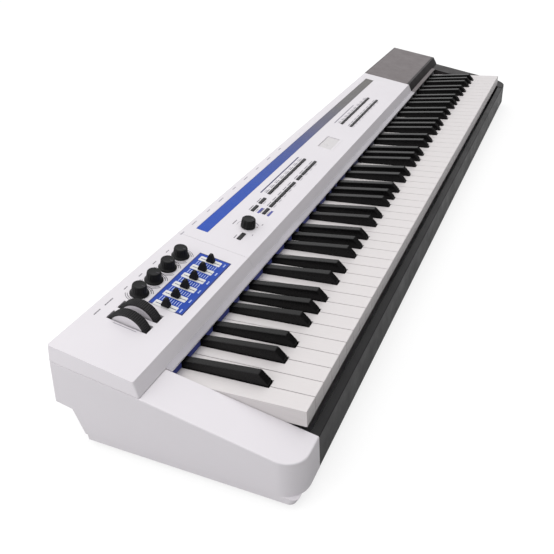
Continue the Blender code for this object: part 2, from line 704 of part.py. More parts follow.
def key_comb(name, family, members, finish):
    """Keys of one family and octave, joined by a rail at the rear and hinged together."""
    pivot = world(0.0, *KEY_HINGE)
    rail_low = RAIL_Z[family]
    draw = sharp if family == "sharps" else natural
    spans = []
    bm = bmesh.new()
    for n in members:
        spans.append(draw(bm, n))
    obj = make(name, bm, pivot)
    left = min(span[0] for span in spans)
    right = max(span[1] for span in spans)

    def rail(b):
        box(b, (left, right), RAIL_Y, (rail_low, rail_low + RAIL_H))

    def tabs(b):
        for low, high in spans:
            box(b, (low + 0.6, high - 0.6), (STEM_END_Y - 6.0, RAIL_Y[0] + 2.0),
                (rail_low + 0.5, rail_low + RAIL_H - 0.5))

    combine(obj, tool_object(tabs), "UNION")
    combine(obj, tool_object(rail), "UNION")
    return paint(obj, finish)


def keyboard():
    """Three combs an octave. The odd keys at the ends join the nearest comb of their family."""
    last = NATURALS - 1
    for octave in range(1, 8):
        first = 2 + 7 * (octave - 1)
        cegb = [first, first + 2, first + 4, first + 6]
        dfa = [first + 1, first + 3, first + 5]
        sharps = [first, first + 1, first + 3, first + 4, first + 5]
        if octave == 1:
            cegb = [1] + cegb
            dfa = [0] + dfa
            sharps = [0] + sharps
        if octave == 7:
            cegb.append(last)
        key_comb("naturals_cegb_%d" % octave, "naturals_cegb", cegb, KEY_IVORY)
        key_comb("naturals_dfa_%d" % octave, "naturals_dfa", dfa, KEY_IVORY)
        key_comb("sharps_%d" % octave, "sharps", sharps, KEY_EBONY)


# ---- assembly ------------------------------------------------------------------------------------

def build():
    for old in list(bpy.data.objects):
        bpy.data.objects.remove(old)
    end_block("left_end_block", -1, PLASTIC_WHITE)
    end_block("right_end_block", 1, PLASTIC_DARK)
    bottom_case()
    top_case()
    cover("right_top_cap", CAP_X + FIT, HALF_LENGTH, 1, PLASTIC_DARK)
    key_slip()
    key_felt()
    accent_strip()
    slider_plate()
    display_window()
    jack_plate()
    for i, (x, y) in enumerate((sx * FOOT_X, fy) for sx in (-1, 1) for fy in FOOT_YS):
        foot("foot_%d" % (i + 1), x, y)
    key_chassis()
    boards()
    wheel_bracket()
    for name in WHEEL_X:
        wheel(name)
    for i, x in enumerate(KNOB_X):
        knob("control_knob_%d" % (i + 1), x, KNOB_Y)
    knob("volume_knob", *VOLUME_XY)
    for i, x in enumerate(SLIDER_X):
        slider("slider_%d" % (i + 1), x)
    button_row("power_button", [(POWER_X[0], POWER_X[1] - POWER_X[0], POWER_Y)])
    for name, runs in BUTTON_RUNS.items():
        button_row(name, buttons_in(runs))
    keyboard()


build()
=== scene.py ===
"""Looks of the digital stage piano: camera, light, and every visible piece with its material.

Lengths are in millimetres and MM turns them into metres. A place is given as (x, y, z): x runs along
the keyboard from the middle, y runs back from the front edge, z runs up from the case's underside.
The sloping panel is addressed with on_panel(), in the same x and y plus a height square to it.
"""

import json
import math

import bmesh
import bpy
from mathutils import Matrix, Vector


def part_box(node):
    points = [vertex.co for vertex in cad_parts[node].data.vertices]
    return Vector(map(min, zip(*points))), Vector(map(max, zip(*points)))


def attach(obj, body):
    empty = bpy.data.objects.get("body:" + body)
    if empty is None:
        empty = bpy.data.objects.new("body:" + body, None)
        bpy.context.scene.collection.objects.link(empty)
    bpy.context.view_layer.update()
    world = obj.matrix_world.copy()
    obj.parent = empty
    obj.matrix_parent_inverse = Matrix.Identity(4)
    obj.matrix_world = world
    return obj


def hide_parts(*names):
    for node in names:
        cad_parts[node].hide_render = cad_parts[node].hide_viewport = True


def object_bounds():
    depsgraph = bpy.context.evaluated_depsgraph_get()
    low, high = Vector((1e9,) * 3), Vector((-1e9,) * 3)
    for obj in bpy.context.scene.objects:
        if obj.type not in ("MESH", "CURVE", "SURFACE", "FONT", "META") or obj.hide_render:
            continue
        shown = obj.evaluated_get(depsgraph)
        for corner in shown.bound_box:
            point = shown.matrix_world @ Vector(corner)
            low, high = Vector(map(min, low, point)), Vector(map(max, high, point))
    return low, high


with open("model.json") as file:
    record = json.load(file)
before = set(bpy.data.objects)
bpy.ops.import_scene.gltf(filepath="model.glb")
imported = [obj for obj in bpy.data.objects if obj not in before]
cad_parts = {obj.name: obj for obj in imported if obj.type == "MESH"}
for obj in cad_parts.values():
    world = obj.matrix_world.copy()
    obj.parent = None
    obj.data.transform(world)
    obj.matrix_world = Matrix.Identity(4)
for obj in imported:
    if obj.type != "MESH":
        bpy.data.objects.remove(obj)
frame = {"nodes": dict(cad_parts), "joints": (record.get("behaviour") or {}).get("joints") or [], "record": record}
CAD_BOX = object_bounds()

MM = 0.001
X_AXIS = Vector((1.0, 0.0, 0.0))
Y_AXIS = Vector((0.0, 1.0, 0.0))
Z_AXIS = Vector((0.0, 0.0, 1.0))
RECORD = frame["record"]
MOUNTS = {m["name"]: m for m in RECORD["mounts"]}
JOINTS = {j["name"]: j for j in frame["joints"]}
FRONT = CAD_BOX[0][1]
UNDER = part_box("bottom_case")[0].z
PANEL_POINT = Vector(MOUNTS["panel_top"]["pos_m"])
PANEL_NORMAL = Vector(MOUNTS["panel_top"]["axis"]).normalized()
PANEL_UP = X_AXIS.cross(PANEL_NORMAL) * -1.0
PANEL_BASIS = (X_AXIS, PANEL_UP, PANEL_NORMAL)

# Case
KEY_PITCH = 23.5
NATURALS = 52
HALF_SPAN = KEY_PITCH * NATURALS / 2
HALF_LENGTH = HALF_SPAN + 50.0
SIDE_LEAN = 0.005
SIDE_PROFILE = [(0.0, 7.8), (0.0, 49.7), (170.5, 84.9), (279.3, 102.5), (287.0, 45.8), (264.9, 40.9),
                (255.27, 7.8)]
TRAY_PROFILE = [(8.5, 0.0), (3.9, 8.6), (253.0, 8.6), (253.0, 0.0)]
TRAY_INSET = 0.4
SEAM_GAP = 1.0
SHOULDER = (170.5, 84.9)
SEAM_REAR = (279.3, 102.5)
REAR_STEP = (287.0, 45.8)
CREST = (177.6, 101.1)
PANEL_REAR = (279.5, 121.0)
SIDE_CHAMFER = 4.0
WALL = 2.8
CAP_X = 409.0
SEAM_X = -399.0                  # parting groove across the white panel
LIP = [(162.8, 83.4), (173.0, 85.0), (173.0, 86.8), (162.8, 84.6)]

# Controls
WHEEL_Y = 230.5
WHEEL_W = 12.0
KNOB_Y = 249.5
VOLUME_XY = (-331.5, 210.6)
PLATE_X = (-543.0, -423.0)
PLATE_Y = (189.0, 233.2)
SLIDER_X = [-538.3 + 20.85 * i for i in range(6)]
SLIDER_Y = 212.5
SLOT_HALF = 15.3
STRIPE_X = (-376.5, 375.0)
STRIPE_Y = (248.0, 265.5)
WINDOW_X = (-24.5, 26.0)
WINDOW_Y = (203.0, 226.0)
POWER = (-368.0, 17.5, 207.0)
POWER_DEPTH = 5.5
BUTTON_DEPTH = 4.6
BUTTON_CLEAR = 0.35
BUTTON_RUNS = {
    "mode_buttons": [(-291.0, 26.0, 2, 224.0)],
    "left_buttons_upper": [(-231.5, 18.3, 8, 225.0)],
    "left_buttons_lower": [(-289.0, 20.0, 1, 207.5), (-265.0, 18.7, 5, 207.5), (-163.5, 20.0, 1, 207.5),
                           (-142.0, 20.0, 3, 207.5)],
    "right_buttons_upper": [(95.0, 17.8, 6, 224.8), (203.0, 20.6, 3, 224.8)],
    "right_buttons_lower": [(95.0, 17.8, 6, 206.8), (203.0, 20.6, 3, 206.8)],
}

# Keys
KEY_FRONT_Y = 12.5
KEY_FRONT_Z = 77.1
KEY_FALL = 0.0318
HEAD_END_Y = 62.2
SHARP_FRONT_Y = 63.7
SHARP_SHIFT = {"C": -2.6, "D": 2.6, "F": -3.6, "G": 0.0, "A": 3.6}
SHARP_HALF = 5.45
SHARP_BACK_Y = 164.8
STEM_END_Y = 236.0
RAIL_Z = {"naturals_cegb": 51.0, "naturals_dfa": 57.0, "sharps": 63.0}

# Camera and studio
CAMERA_PLACE = (-1.04271, -0.31852, 0.52657)
CAMERA_TURN = (0.45296, 0.55237, -0.06237)      # azimuth, fall and roll
CAMERA_LENS = 42.85
SKY = 1.30                       # brightness of the dome
FLOOR_SHADE = 0.52               # what the object sees of the floor
FLOOR_GLOW = 0.76                # share of the floor's white that shadows can't take away


# ---- places --------------------------------------------------------------------------------------

def at(x, y, z):
    """A place on the case, in the row frame."""
    return Vector((x * MM, FRONT + y * MM, UNDER + z * MM))


def on_panel(x, y, height=0.0):
    """A place on the sloping panel: y is measured level, height square to the surface."""
    place = at(x, y, 0.0)
    place.z += (PANEL_POINT - place).dot(PANEL_NORMAL) / PANEL_NORMAL.z
    return place + PANEL_NORMAL * (height * MM)


def rear_wall(up, out):
    """A (y, z) place on the rear wall: up along it from the rear step, out square to it."""
    along = (Vector(SEAM_REAR) - Vector(REAR_STEP)).normalized()
    place = Vector(REAR_STEP) + along * up + Vector((along.y, -along.x)) * out
    return (place.x, place.y)


def key_top(y):
    return KEY_FRONT_Z - KEY_FALL * (y - KEY_FRONT_Y)


# ---- mesh helpers --------------------------------------------------------------------------------

def loft(bm, first, second):
    """Close the space between two outlines that have the same number of points."""
    low = [bm.verts.new(p) for p in first]
    high = [bm.verts.new(p) for p in second]
    count = len(low)
    bm.faces.new(low)
    bm.faces.new(high[::-1])
    for i in range(count):
        j = (i + 1) % count
        bm.faces.new((low[i], high[i], high[j], low[j]))


def prism(bm, outline, x0, x1):
    """Extrude an outline of (y, z) points along the length."""
    loft(bm, [at(x0, y, z) for y, z in outline], [at(x1, y, z) for y, z in outline])


def box(bm, x, y, z):
    prism(bm, [(y[0], z[0]), (y[1], z[0]), (y[1], z[1]), (y[0], z[1])], x[0], x[1])


def panel_box(bm, x, y, height):
    """A box that lies square on the sloping panel."""
    corners = [(x[0], y[0]), (x[1], y[0]), (x[1], y[1]), (x[0], y[1])]
    loft(bm, [on_panel(px, py, height[0]) for px, py in corners],
         [on_panel(px, py, height[1]) for px, py in corners])


def around(middle, half):
    """Span that reaches the same way to both sides of its middle."""
    return (middle - half, middle + half)


def shrunk(span, edge):
    """Span that starts and ends an edge's width inside another."""
    return (span[0] + edge, span[1] - edge)


def round_outline(x, y, radius, steps=5):
    """Outline of a rectangle with round corners, as (x, y) points."""
    points = []
    centres = [(x[1] - radius, y[1] - radius, 0), (x[0] + radius, y[1] - radius, 90),
               (x[0] + radius, y[0] + radius, 180), (x[1] - radius, y[0] + radius, 270)]
    for cx, cy, start in centres:
        for k in range(steps + 1):
            angle = math.radians(start + 90.0 * k / steps)
            points.append((cx + radius * math.cos(angle), cy + radius * math.sin(angle)))
    return points


def panel_ring(bm, outline, height):
    """Vertices of an outline of (x, y) points at a height over the panel."""
    return [bm.verts.new(on_panel(x, y, height)) for x, y in outline]


def panel_plate(bm, x, y, height, radius, edge=0.0):
    """A plate with round corners on the panel. The edge is the size of its top chamfer."""
    outline = round_outline(x, y, radius)
    inner = round_outline(shrunk(x, edge), shrunk(y, edge), max(radius - edge, 0.05))
    rings = [panel_ring(bm, outline, height[0])]
    if edge:
        rings.append(panel_ring(bm, outline, height[1] - edge))
    rings.append(panel_ring(bm, inner, height[1]))
    stitch(bm, rings)


def strips(bm, pairs):
    """Fill between pairs of rings that have the same number of vertices."""
    for low, high in pairs:
        count = len(low)
        for k in range(count):
            n = (k + 1) % count
            bm.faces.new((low[k], low[n], high[n], high[k]))


def stitch(bm, rings):
    """Join rings of vertices into a closed form with flat ends."""
    bm.faces.new(rings[0])
    bm.faces.new(rings[-1][::-1])
    strips(bm, zip(rings, rings[1:]))


def stitch_round(bm, rings):
    """Join rings of vertices into a loop that meets its own start."""
    strips(bm, zip(rings, rings[1:] + rings[:1]))


def turned(bm, centre, basis, profile, segments, wave=None):
    """Revolve (radius, height) points about the basis's third axis. wave(turn, row) scales a radius."""
    across, along, axis = basis
    rings = []
    for row, (radius, height) in enumerate(profile):
        middle = Vector(centre) + axis * (height * MM)
        if radius == 0.0:
            rings.append([bm.verts.new(middle)])
            continue
        ring = []
        for k in range(segments):
            angle = 2 * math.pi * k / segments
            reach = radius * MM * (wave(k / segments, row) if wave else 1.0)
            out = across * (reach * math.cos(angle)) + along * (reach * math.sin(angle))
            ring.append(bm.verts.new(middle + out))
        rings.append(ring)
    for low, high in zip(rings, rings[1:]):
        for k in range(segments):
            n = (k + 1) % segments
            if len(low) == 1:
                bm.faces.new((low[0], high[k], high[n]))
            elif len(high) == 1:
                bm.faces.new((low[k], low[n], high[0]))
            else:
                bm.faces.new((low[k], low[n], high[n], high[k]))


def swept_ring(bm, centre, basis, profile, segments, wave=None):
    """Revolve a closed profile of (radius, height) points that stays off the axis."""
    across, along, axis = basis
    rings = []
    for k in range(segments):
        angle = 2 * math.pi * k / segments
        out = across * math.cos(angle) + along * math.sin(angle)
        ring = []
        for row, (radius, height) in enumerate(profile):
            reach = radius * MM * (wave(k / segments, row) if wave else 1.0)
            ring.append(bm.verts.new(Vector(centre) + out * reach + axis * (height * MM)))
        rings.append(ring)
    stitch_round(bm, rings)


def soften(bm, width, segments, chosen=None, angle=25.0):
    """Round the sharp edges that pass the test."""
    bm.normal_update()
    limit = math.radians(angle)
    edges = [e for e in bm.edges if len(e.link_faces) == 2 and e.calc_face_angle(0.0) > limit
             and (chosen is None or chosen(e))]
    bmesh.ops.bevel(bm, geom=edges, offset=width * MM, segments=segments, profile=0.5, affect="EDGES",
                    clamp_overlap=True)


def combine(obj, build, operation):
    """Join a helper solid to the object or cut it away."""
    bm = bmesh.new()
    build(bm)
    tool = new_object("tool", bm)
    modifier = obj.modifiers.new(operation, "BOOLEAN")
    modifier.operation = operation
    modifier.object = tool
    modifier.solver = "EXACT"
    bpy.context.view_layer.update()
    graph = bpy.context.evaluated_depsgraph_get()
    result = bpy.data.meshes.new_from_object(obj.evaluated_get(graph))
    obj.modifiers.clear()
    obj.data = result
    bpy.data.objects.remove(tool)
    return obj


def add_object(name, data):
    """An object in the scene for a mesh, a light or a camera."""
    obj = bpy.data.objects.new(name, data)
    bpy.context.scene.collection.objects.link(obj)
    return obj


def new_object(name, bm):
    """An object with the bmesh's form, its faces turned outwards."""
    bmesh.ops.recalc_face_normals(bm, faces=bm.faces)
    mesh = bpy.data.meshes.new(name)
    bm.to_mesh(mesh)
    bm.free()
    return add_object(name, mesh)


def piece(name, source, material, body, nodes=(), angle=32.0):
    """Finish a bmesh or an object as a visible piece that rides on a body."""
    obj = new_object(name, source) if isinstance(source, bmesh.types.BMesh) else source
    obj.data.materials.clear()
    obj.data.materials.append(material)
    obj.data.shade_smooth()
    obj.data.set_sharp_from_angle(angle=math.radians(angle))
    weighted = obj.modifiers.new("normals", "WEIGHTED_NORMAL")
    weighted.keep_sharp = True
    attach(obj, body)
    if nodes:
        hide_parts(*nodes)
    return obj


# ---- materials -----------------------------------------------------------------------------------

class Nodes:
    """Small helper that adds nodes to a material's tree."""

    def __init__(self, name, colour, roughness, metallic=0.0):
        self.material = bpy.data.materials.new(name)
        self.material.use_nodes = True
        self.tree = self.material.node_tree
        self.shader = self.tree.nodes["Principled BSDF"]
        self.set("Base Color", (*colour, 1.0))
        self.set("Roughness", roughness)
        self.set("Metallic", metallic)
        coords = self.add("ShaderNodeTexCoord")
        self.place = coords.outputs["Object"]

    def add(self, kind, values=None, **settings):
        """A node with the given properties, and values on its sockets."""
        node = self.tree.nodes.new(kind)
        for key, value in settings.items():
            setattr(node, key, value)
        for socket, value in (values or {}).items():
            node.inputs[socket].default_value = value
        return node

    def set(self, socket, value):
        self.shader.inputs[socket].default_value = value

    def link(self, source, target):
        self.tree.links.new(source, target)

    def stretched(self, scale):
        mapping = self.add("ShaderNodeMapping", {"Scale": scale})
        self.link(self.place, mapping.inputs["Vector"])
        return mapping.outputs["Vector"]

    def noise(self, scale, detail=3.0, rough=0.55, vector=None):
        node = self.add("ShaderNodeTexNoise", {"Scale": scale, "Detail": detail, "Roughness": rough})
        self.link(vector or self.place, node.inputs["Vector"])
        return node.outputs["Fac"]

    def ramp(self, factor, stops):
        node = self.add("ShaderNodeValToRGB")
        fill_ramp(node, stops)
        self.link(factor, node.inputs["Fac"])
        return node.outputs["Color"]

    def span(self, value, low, high, source=(0.3, 0.7)):
        node = self.add("ShaderNodeMapRange", {"From Min": source[0], "From Max": source[1], "To Min": low,
                                               "To Max": high})
        self.link(value, node.inputs["Value"])
        return node.outputs["Result"]

    def along(self, start, end):
        """0 to 1 between two places along the keyboard, in metres."""
        split = self.add("ShaderNodeSeparateXYZ")
        self.link(self.place, split.inputs["Vector"])
        return self.span(split.outputs["X"], 0.0, 1.0, (start, end))

    def bricks(self, colours, scale, gap, offset):
        """Brick pattern: two brick colours and the mortar's."""
        first, second, mortar = [(*colour, 1.0) for colour in colours]
        node = self.add("ShaderNodeTexBrick", {"Color1": first, "Color2": second, "Mortar": mortar,
                                               "Scale": scale, "Mortar Size": gap}, offset=offset)
        self.link(self.place, node.inputs["Vector"])
        self.colour(node.outputs["Color"])
        return node.outputs["Fac"]

    def multiply(self, first, second):
        node = self.add("ShaderNodeMix", data_type="RGBA", blend_type="MULTIPLY")
        node.inputs["Factor"].default_value = 1.0
        self.link(first, node.inputs["A"])
        self.link(second, node.inputs["B"])
        return node.outputs["Result"]

    def bump(self, height, strength, distance):
        node = self.add("ShaderNodeBump", {"Strength": strength, "Distance": distance * MM})
        self.link(height, node.inputs["Height"])
        self.link(node.outputs["Normal"], self.shader.inputs["Normal"])

    def colour(self, output):
        self.link(output, self.shader.inputs["Base Color"])

    def roughness(self, output):
        self.link(output, self.shader.inputs["Roughness"])


def fill_ramp(node, stops):
    """Set a colour ramp's stops, given from low to high."""
    elements = node.color_ramp.elements
    while len(elements) < len(stops):
        elements.new(0.5)
    for element, (position, colour) in zip(elements, stops):
        element.position = position
        element.color = (*colour, 1.0)


def shade(colour, factor):
    return tuple(min(1.0, c * factor) for c in colour)


def moulded(name, colour, roughness, grain=1400.0, depth=0.02, strength=0.25, mottle=0.03, coat=0.0,
            shine=0.5):
    """Moulded plastic: fine spark texture, slightly uneven colour and gloss."""
    n = Nodes(name, colour, roughness)
    n.set("Specular IOR Level", shine)
    broad = n.noise(9.0, 4.0, 0.6)
    n.colour(n.ramp(broad, [(0.32, shade(colour, 1.0 - mottle)), (0.68, shade(colour, 1.0 + mottle))]))
    n.roughness(n.span(n.noise(38.0, 4.0, 0.65), roughness - 0.05, roughness + 0.07))
    n.bump(n.noise(grain, 2.0, 0.5), strength, depth)
    if coat:
        n.set("Coat Weight", coat)
        n.set("Coat Roughness", 0.12)
    return n.material


def key_surface(name, colour, roughness, mottle, depth, coat=0.0, shine=0.5):
    """Key top with a fine grain that runs along the key."""
    n = Nodes(name, colour, roughness)
    n.set("Specular IOR Level", shine)
    streaks = n.noise(120.0, 5.0, 0.6, n.stretched((9.0, 0.55, 3.0)))
    fine = n.noise(420.0, 3.0, 0.6, n.stretched((5.0, 0.8, 3.0)))
    pale = n.ramp(streaks, [(0.34, shade(colour, 1.0 - mottle)), (0.66, shade(colour, 1.0 + mottle))])
    n.colour(pale)
    n.roughness(n.span(fine, roughness - 0.06, roughness + 0.08))
    n.bump(fine, 0.35, depth)
    if coat:
        n.set("Coat Weight", coat)
        n.set("Coat Roughness", 0.15)
    return n.material


def felt_surface(name, colour, far_colour):
    """Pressed wool felt with matted fibres. Its blue falls to near black at the treble end."""
    n = Nodes(name, colour, 0.95)
    base = n.ramp(n.along(-0.3, 0.15), [(0.0, colour), (1.0, far_colour)])
    fibres = n.noise(1600.0, 6.0, 0.75, n.stretched((1.0, 1.0, 2.2)))
    clumps = n.noise(260.0, 4.0, 0.7)
    body = n.ramp(fibres, [(0.3, (0.5, 0.5, 0.5)), (0.7, (1.0, 1.0, 1.0))])
    shadow = n.ramp(clumps, [(0.3, (0.72, 0.72, 0.74)), (0.7, (1.0, 1.0, 1.0))])
    n.colour(n.multiply(n.multiply(base, body), shadow))
    n.bump(fibres, 0.8, 0.25)
    n.set("Sheen Weight", 0.12)
    n.set("Sheen Roughness", 0.5)
    return n.material


def stripe_surface(name):
    """Blue lacquer that fades to grey towards the treble end."""
    n = Nodes(name, (0.1, 0.2, 0.6), 0.32)
    fade = n.ramp(n.along(STRIPE_X[0] * MM, STRIPE_X[1] * MM),
                  [(0.0, (0.014, 0.066, 0.40)), (0.22, (0.02, 0.07, 0.36)), (0.42, (0.055, 0.08, 0.25)),
                   (0.58, (0.115, 0.115, 0.18)), (0.75, (0.145, 0.14, 0.145)), (1.0, (0.14, 0.135, 0.128))])
    flecks = n.ramp(n.noise(700.0, 3.0, 0.6), [(0.35, (0.86, 0.86, 0.86)), (0.65, (1.0, 1.0, 1.0))])
    n.colour(n.multiply(fade, flecks))
    n.roughness(n.span(n.noise(60.0), 0.34, 0.46))
    n.set("Specular IOR Level", 0.2)
    return n.material


def steel_surface(name, colour, roughness):
    """Rolled sheet steel with fine lines along the length."""
    n = Nodes(name, colour, roughness, 1.0)
    lines = n.noise(220.0, 5.0, 0.65, n.stretched((0.25, 9.0, 9.0)))
    n.colour(n.ramp(lines, [(0.3, shade(colour, 0.82)), (0.7, shade(colour, 1.1))]))
    n.roughness(n.span(lines, roughness - 0.08, roughness + 0.12))
    n.bump(lines, 0.25, 0.03)
    return n.material


def board_surface(name):
    """Circuit board: green solder mask over paler copper runs."""
    n = Nodes(name, (0.03, 0.2, 0.08), 0.38)
    runs = n.bricks([(0.02, 0.15, 0.06), (0.03, 0.19, 0.08), (0.07, 0.30, 0.12)], 160.0, 0.03, 0.5)
    n.roughness(n.span(n.noise(90.0), 0.3, 0.46))
    n.bump(runs, 0.3, 0.04)
    return n.material


def rubber_surface(name, colour):
    n = Nodes(name, colour, 0.82)
    powder = n.noise(180.0, 5.0, 0.7)
    n.colour(n.ramp(powder, [(0.3, shade(colour, 0.8)), (0.75, shade(colour, 1.5))]))
    n.roughness(n.span(n.noise(60.0), 0.74, 0.9))
    n.bump(n.noise(900.0, 4.0, 0.6), 0.4, 0.05)
    return n.material


def lcd_surface(name):
    """Switched-off reflective display behind a clear pane."""
    n = Nodes(name, (0.50, 0.48, 0.49), 0.3)
    n.bricks([(0.51, 0.49, 0.50), (0.49, 0.47, 0.48), (0.53, 0.51, 0.52)], 900.0, 0.05, 0.0)
    n.roughness(n.span(n.noise(30.0), 0.26, 0.36))
    n.set("Coat Weight", 0.3)
    n.set("Coat Roughness", 0.08)
    return n.material


def ink_surface(name, colour):
    """Screen-printed ink, slightly uneven."""
    n = Nodes(name, colour, 0.5)
    n.colour(n.ramp(n.noise(800.0, 4.0, 0.7), [(0.3, shade(colour, 0.85)), (0.7, shade(colour, 1.12))]))
    n.roughness(n.span(n.noise(300.0), 0.44, 0.58))
    return n.material


WHITE = moulded("white_shell", (0.625, 0.60, 0.63), 0.42, coat=0.08, mottle=0.012, shine=0.4)
DARK = moulded("dark_shell", (0.021, 0.0185, 0.0195), 0.42, depth=0.03, mottle=0.08, shine=0.16)
CAP_TOP = moulded("cap_satin", (0.098, 0.080, 0.083), 0.38, depth=0.02, mottle=0.04, shine=0.4)
SEAM = moulded("seam_shadow", (0.02, 0.019, 0.022), 0.7, shine=0.1)
# Darker glossy mottled grey for the strip on the white lip: painted shade and painted reflection of the keys.
LIP_PAINTED_SHADE = moulded("lip_painted_shade", (0.33, 0.315, 0.345), 0.22, grain=300.0, depth=0.08, strength=0.5,
                    mottle=0.12)
SLIP = moulded("slip_satin", (0.013, 0.0125, 0.0135), 0.34, depth=0.03, mottle=0.1, shine=0.16)
FELT = felt_surface("key_felt_wool", (0.028, 0.046, 0.36), (0.006, 0.0065, 0.022))
STRIPE = stripe_surface("stripe_lacquer")
PLATE = moulded("plate_blue_satin", (0.009, 0.048, 0.33), 0.40, mottle=0.05, shine=0.2)
TRACK = moulded("track_silver", (0.62, 0.62, 0.62), 0.38, mottle=0.03)
BLACK = moulded("control_black_soft", (0.0065, 0.0065, 0.007), 0.50, grain=2200.0, depth=0.03, mottle=0.12,
                shine=0.18)
TYRE = rubber_surface("wheel_tyre_rubber", (0.0085, 0.008, 0.009))
BUTTON = moulded("button_black_satin", (0.011, 0.011, 0.013), 0.40, depth=0.015, mottle=0.1, shine=0.3)
IVORY = key_surface("key_ivory_grain", (0.555, 0.528, 0.53), 0.38, 0.018, 0.02, coat=0.1, shine=0.4)
EBONY = key_surface("key_ebony_grain", (0.004, 0.0038, 0.004), 0.24, 0.22, 0.04, shine=0.16)
RUBBER = rubber_surface("foot_rubber_matt", (0.022, 0.022, 0.023))
SHEET_STEEL = steel_surface("chassis_sheet", (0.56, 0.57, 0.58), 0.36)
BRIGHT_STEEL = steel_surface("fittings_steel", (0.62, 0.62, 0.63), 0.26)
BOARD = board_surface("solder_mask")
LCD = lcd_surface("lcd_off")
JACK_BLACK = moulded("jack_plate_black", (0.014, 0.014, 0.015), 0.5, depth=0.04, mottle=0.1, shine=0.35)
INK_GREY = ink_surface("ink_grey", (0.055, 0.05, 0.065))
INK_PALE = ink_surface("ink_pale_grey", (0.22, 0.21, 0.25))
INK_SCALE = ink_surface("ink_scale_blue_white", (0.42, 0.50, 0.74))
INK_BLUE = ink_surface("ink_blue", (0.045, 0.05, 0.27))
# Night blue: ink for printed lines, and also the painted shadow line round the slider plate.
INK_NIGHT_AND_SHADE = ink_surface("ink_night_blue_and_painted_shade", (0.012, 0.012, 0.075))
LED_RED = ink_surface("led_dark_red", (0.12, 0.015, 0.02))


# ---- camera, floor and light ---------------------------------------------------------------------

def set_camera():
    azimuth, fall, roll = CAMERA_TURN
    level = math.cos(fall)
    forward = Vector((level * math.cos(azimuth), level * math.sin(azimuth), -math.sin(fall)))
    right = Vector((math.sin(azimuth), -math.cos(azimuth), 0.0))
    up = right.cross(forward)
    turned_right = right * math.cos(roll) + up * math.sin(roll)
    turned_up = up * math.cos(roll) - right * math.sin(roll)
    data = bpy.data.cameras.new("camera")
    data.sensor_width = 36.0
    data.lens = CAMERA_LENS
    data.clip_start = 0.01
    camera = add_object("camera", data)
    matrix = Matrix((turned_right, turned_up, -forward)).transposed().to_4x4()
    matrix.translation = CAMERA_PLACE
    camera.matrix_world = matrix
    bpy.context.scene.camera = camera


def area_light(name, place, target, size, power):
    data = bpy.data.lights.new(name, "AREA")
    data.shape = "SQUARE"
    data.size = size
    data.energy = power
    light = add_object(name, data)
    light.location = place
    direction = Vector(target) - Vector(place)
    light.rotation_euler = direction.to_track_quat("-Z", "Y").to_euler()


def set_stage():
    """White paper floor whose far parts stay white, the dome, and two softboxes."""
    bm = bmesh.new()
    bmesh.ops.create_grid(bm, x_segments=2, y_segments=2, size=9.0)
    floor = new_object("floor", bm)
    n = Nodes("floor_paper", (0.93, 0.93, 0.93), 0.7)
    seen = n.add("ShaderNodeLightPath").outputs["Is Camera Ray"]
    n.colour(n.ramp(seen, [(0.0, (FLOOR_SHADE,) * 3), (1.0, (1.0 - FLOOR_GLOW,) * 3)]))
    glow = n.ramp(seen, [(0.0, (0.0,) * 3), (1.0, (FLOOR_GLOW,) * 3)])
    n.link(glow, n.shader.inputs["Emission Color"])
    n.set("Emission Strength", 1.0)
    n.set("Specular IOR Level", 0.0)
    floor.data.materials.append(n.material)
    set_sky()
    area_light("softbox_top", (-0.3, 0.1, 1.9), (-0.1, 0.0, 0.0), 1.4, 8.0)
    area_light("softbox_left", (-1.25, 0.55, 0.5), (-0.66, 0.05, 0.06), 0.5, 1.6)
    bpy.context.scene.view_settings.view_transform = "Standard"


def set_sky():
    """Soft studio dome: bright overhead and behind, dim in front, so that front faces fall to grey."""
    world = bpy.data.worlds.new("studio")
    world.use_nodes = True
    tree = world.node_tree
    place = tree.nodes.new("ShaderNodeTexCoord")
    slope = tree.nodes.new("ShaderNodeVectorMath")
    slope.operation = "DOT_PRODUCT"
    slope.inputs[1].default_value = (-0.05, 0.27, 0.42)
    shift = tree.nodes.new("ShaderNodeMath")
    shift.operation = "ADD"
    shift.inputs[1].default_value = 0.5
    ramp = tree.nodes.new("ShaderNodeValToRGB")
    levels = ((0.24, 0.0), (0.46, 0.09), (0.55, 0.60), (0.68, 0.90), (0.85, 1.0))
    fill_ramp(ramp, [(position, (level,) * 3) for position, level in levels])
    background = tree.nodes["Background"]
    background.inputs["Strength"].default_value = SKY
    tree.links.new(place.outputs["Generated"], slope.inputs[0])
    tree.links.new(slope.outputs["Value"], shift.inputs[0])
    tree.links.new(shift.outputs["Value"], ramp.inputs["Fac"])
    tree.links.new(ramp.outputs["Color"], background.inputs["Color"])
    bpy.context.scene.world = world


set_camera()
set_stage()


# ---- case ----------------------------------------------------------------------------------------

def round_corner(bm, x, y, radius, segments):
    """Round the upright edge that stands at the given place on the outside of the case."""
    place = at(x, y, 0.0)
    edges = [e for e in bm.edges if abs(e.verts[0].co.z - e.verts[1].co.z) > 5.0 * MM
             and all(math.hypot(v.co.x - place.x, v.co.y - place.y) < 8.0 * MM for v in e.verts)]
    bmesh.ops.bevel(bm, geom=edges, offset=radius * MM, segments=segments, profile=0.5, affect="EDGES")


def block_part(bm, side, outline, inset, front_y, radius, segments):
    """One level of an end block, with its round front corner."""
    reach = HALF_LENGTH - inset
    loft(bm, [at(side * (reach - SIDE_LEAN * z), y, z) for y, z in outline],
         [at(side * HALF_SPAN, y, z) for y, z in outline])
    round_corner(bm, side * reach, front_y, radius, segments)


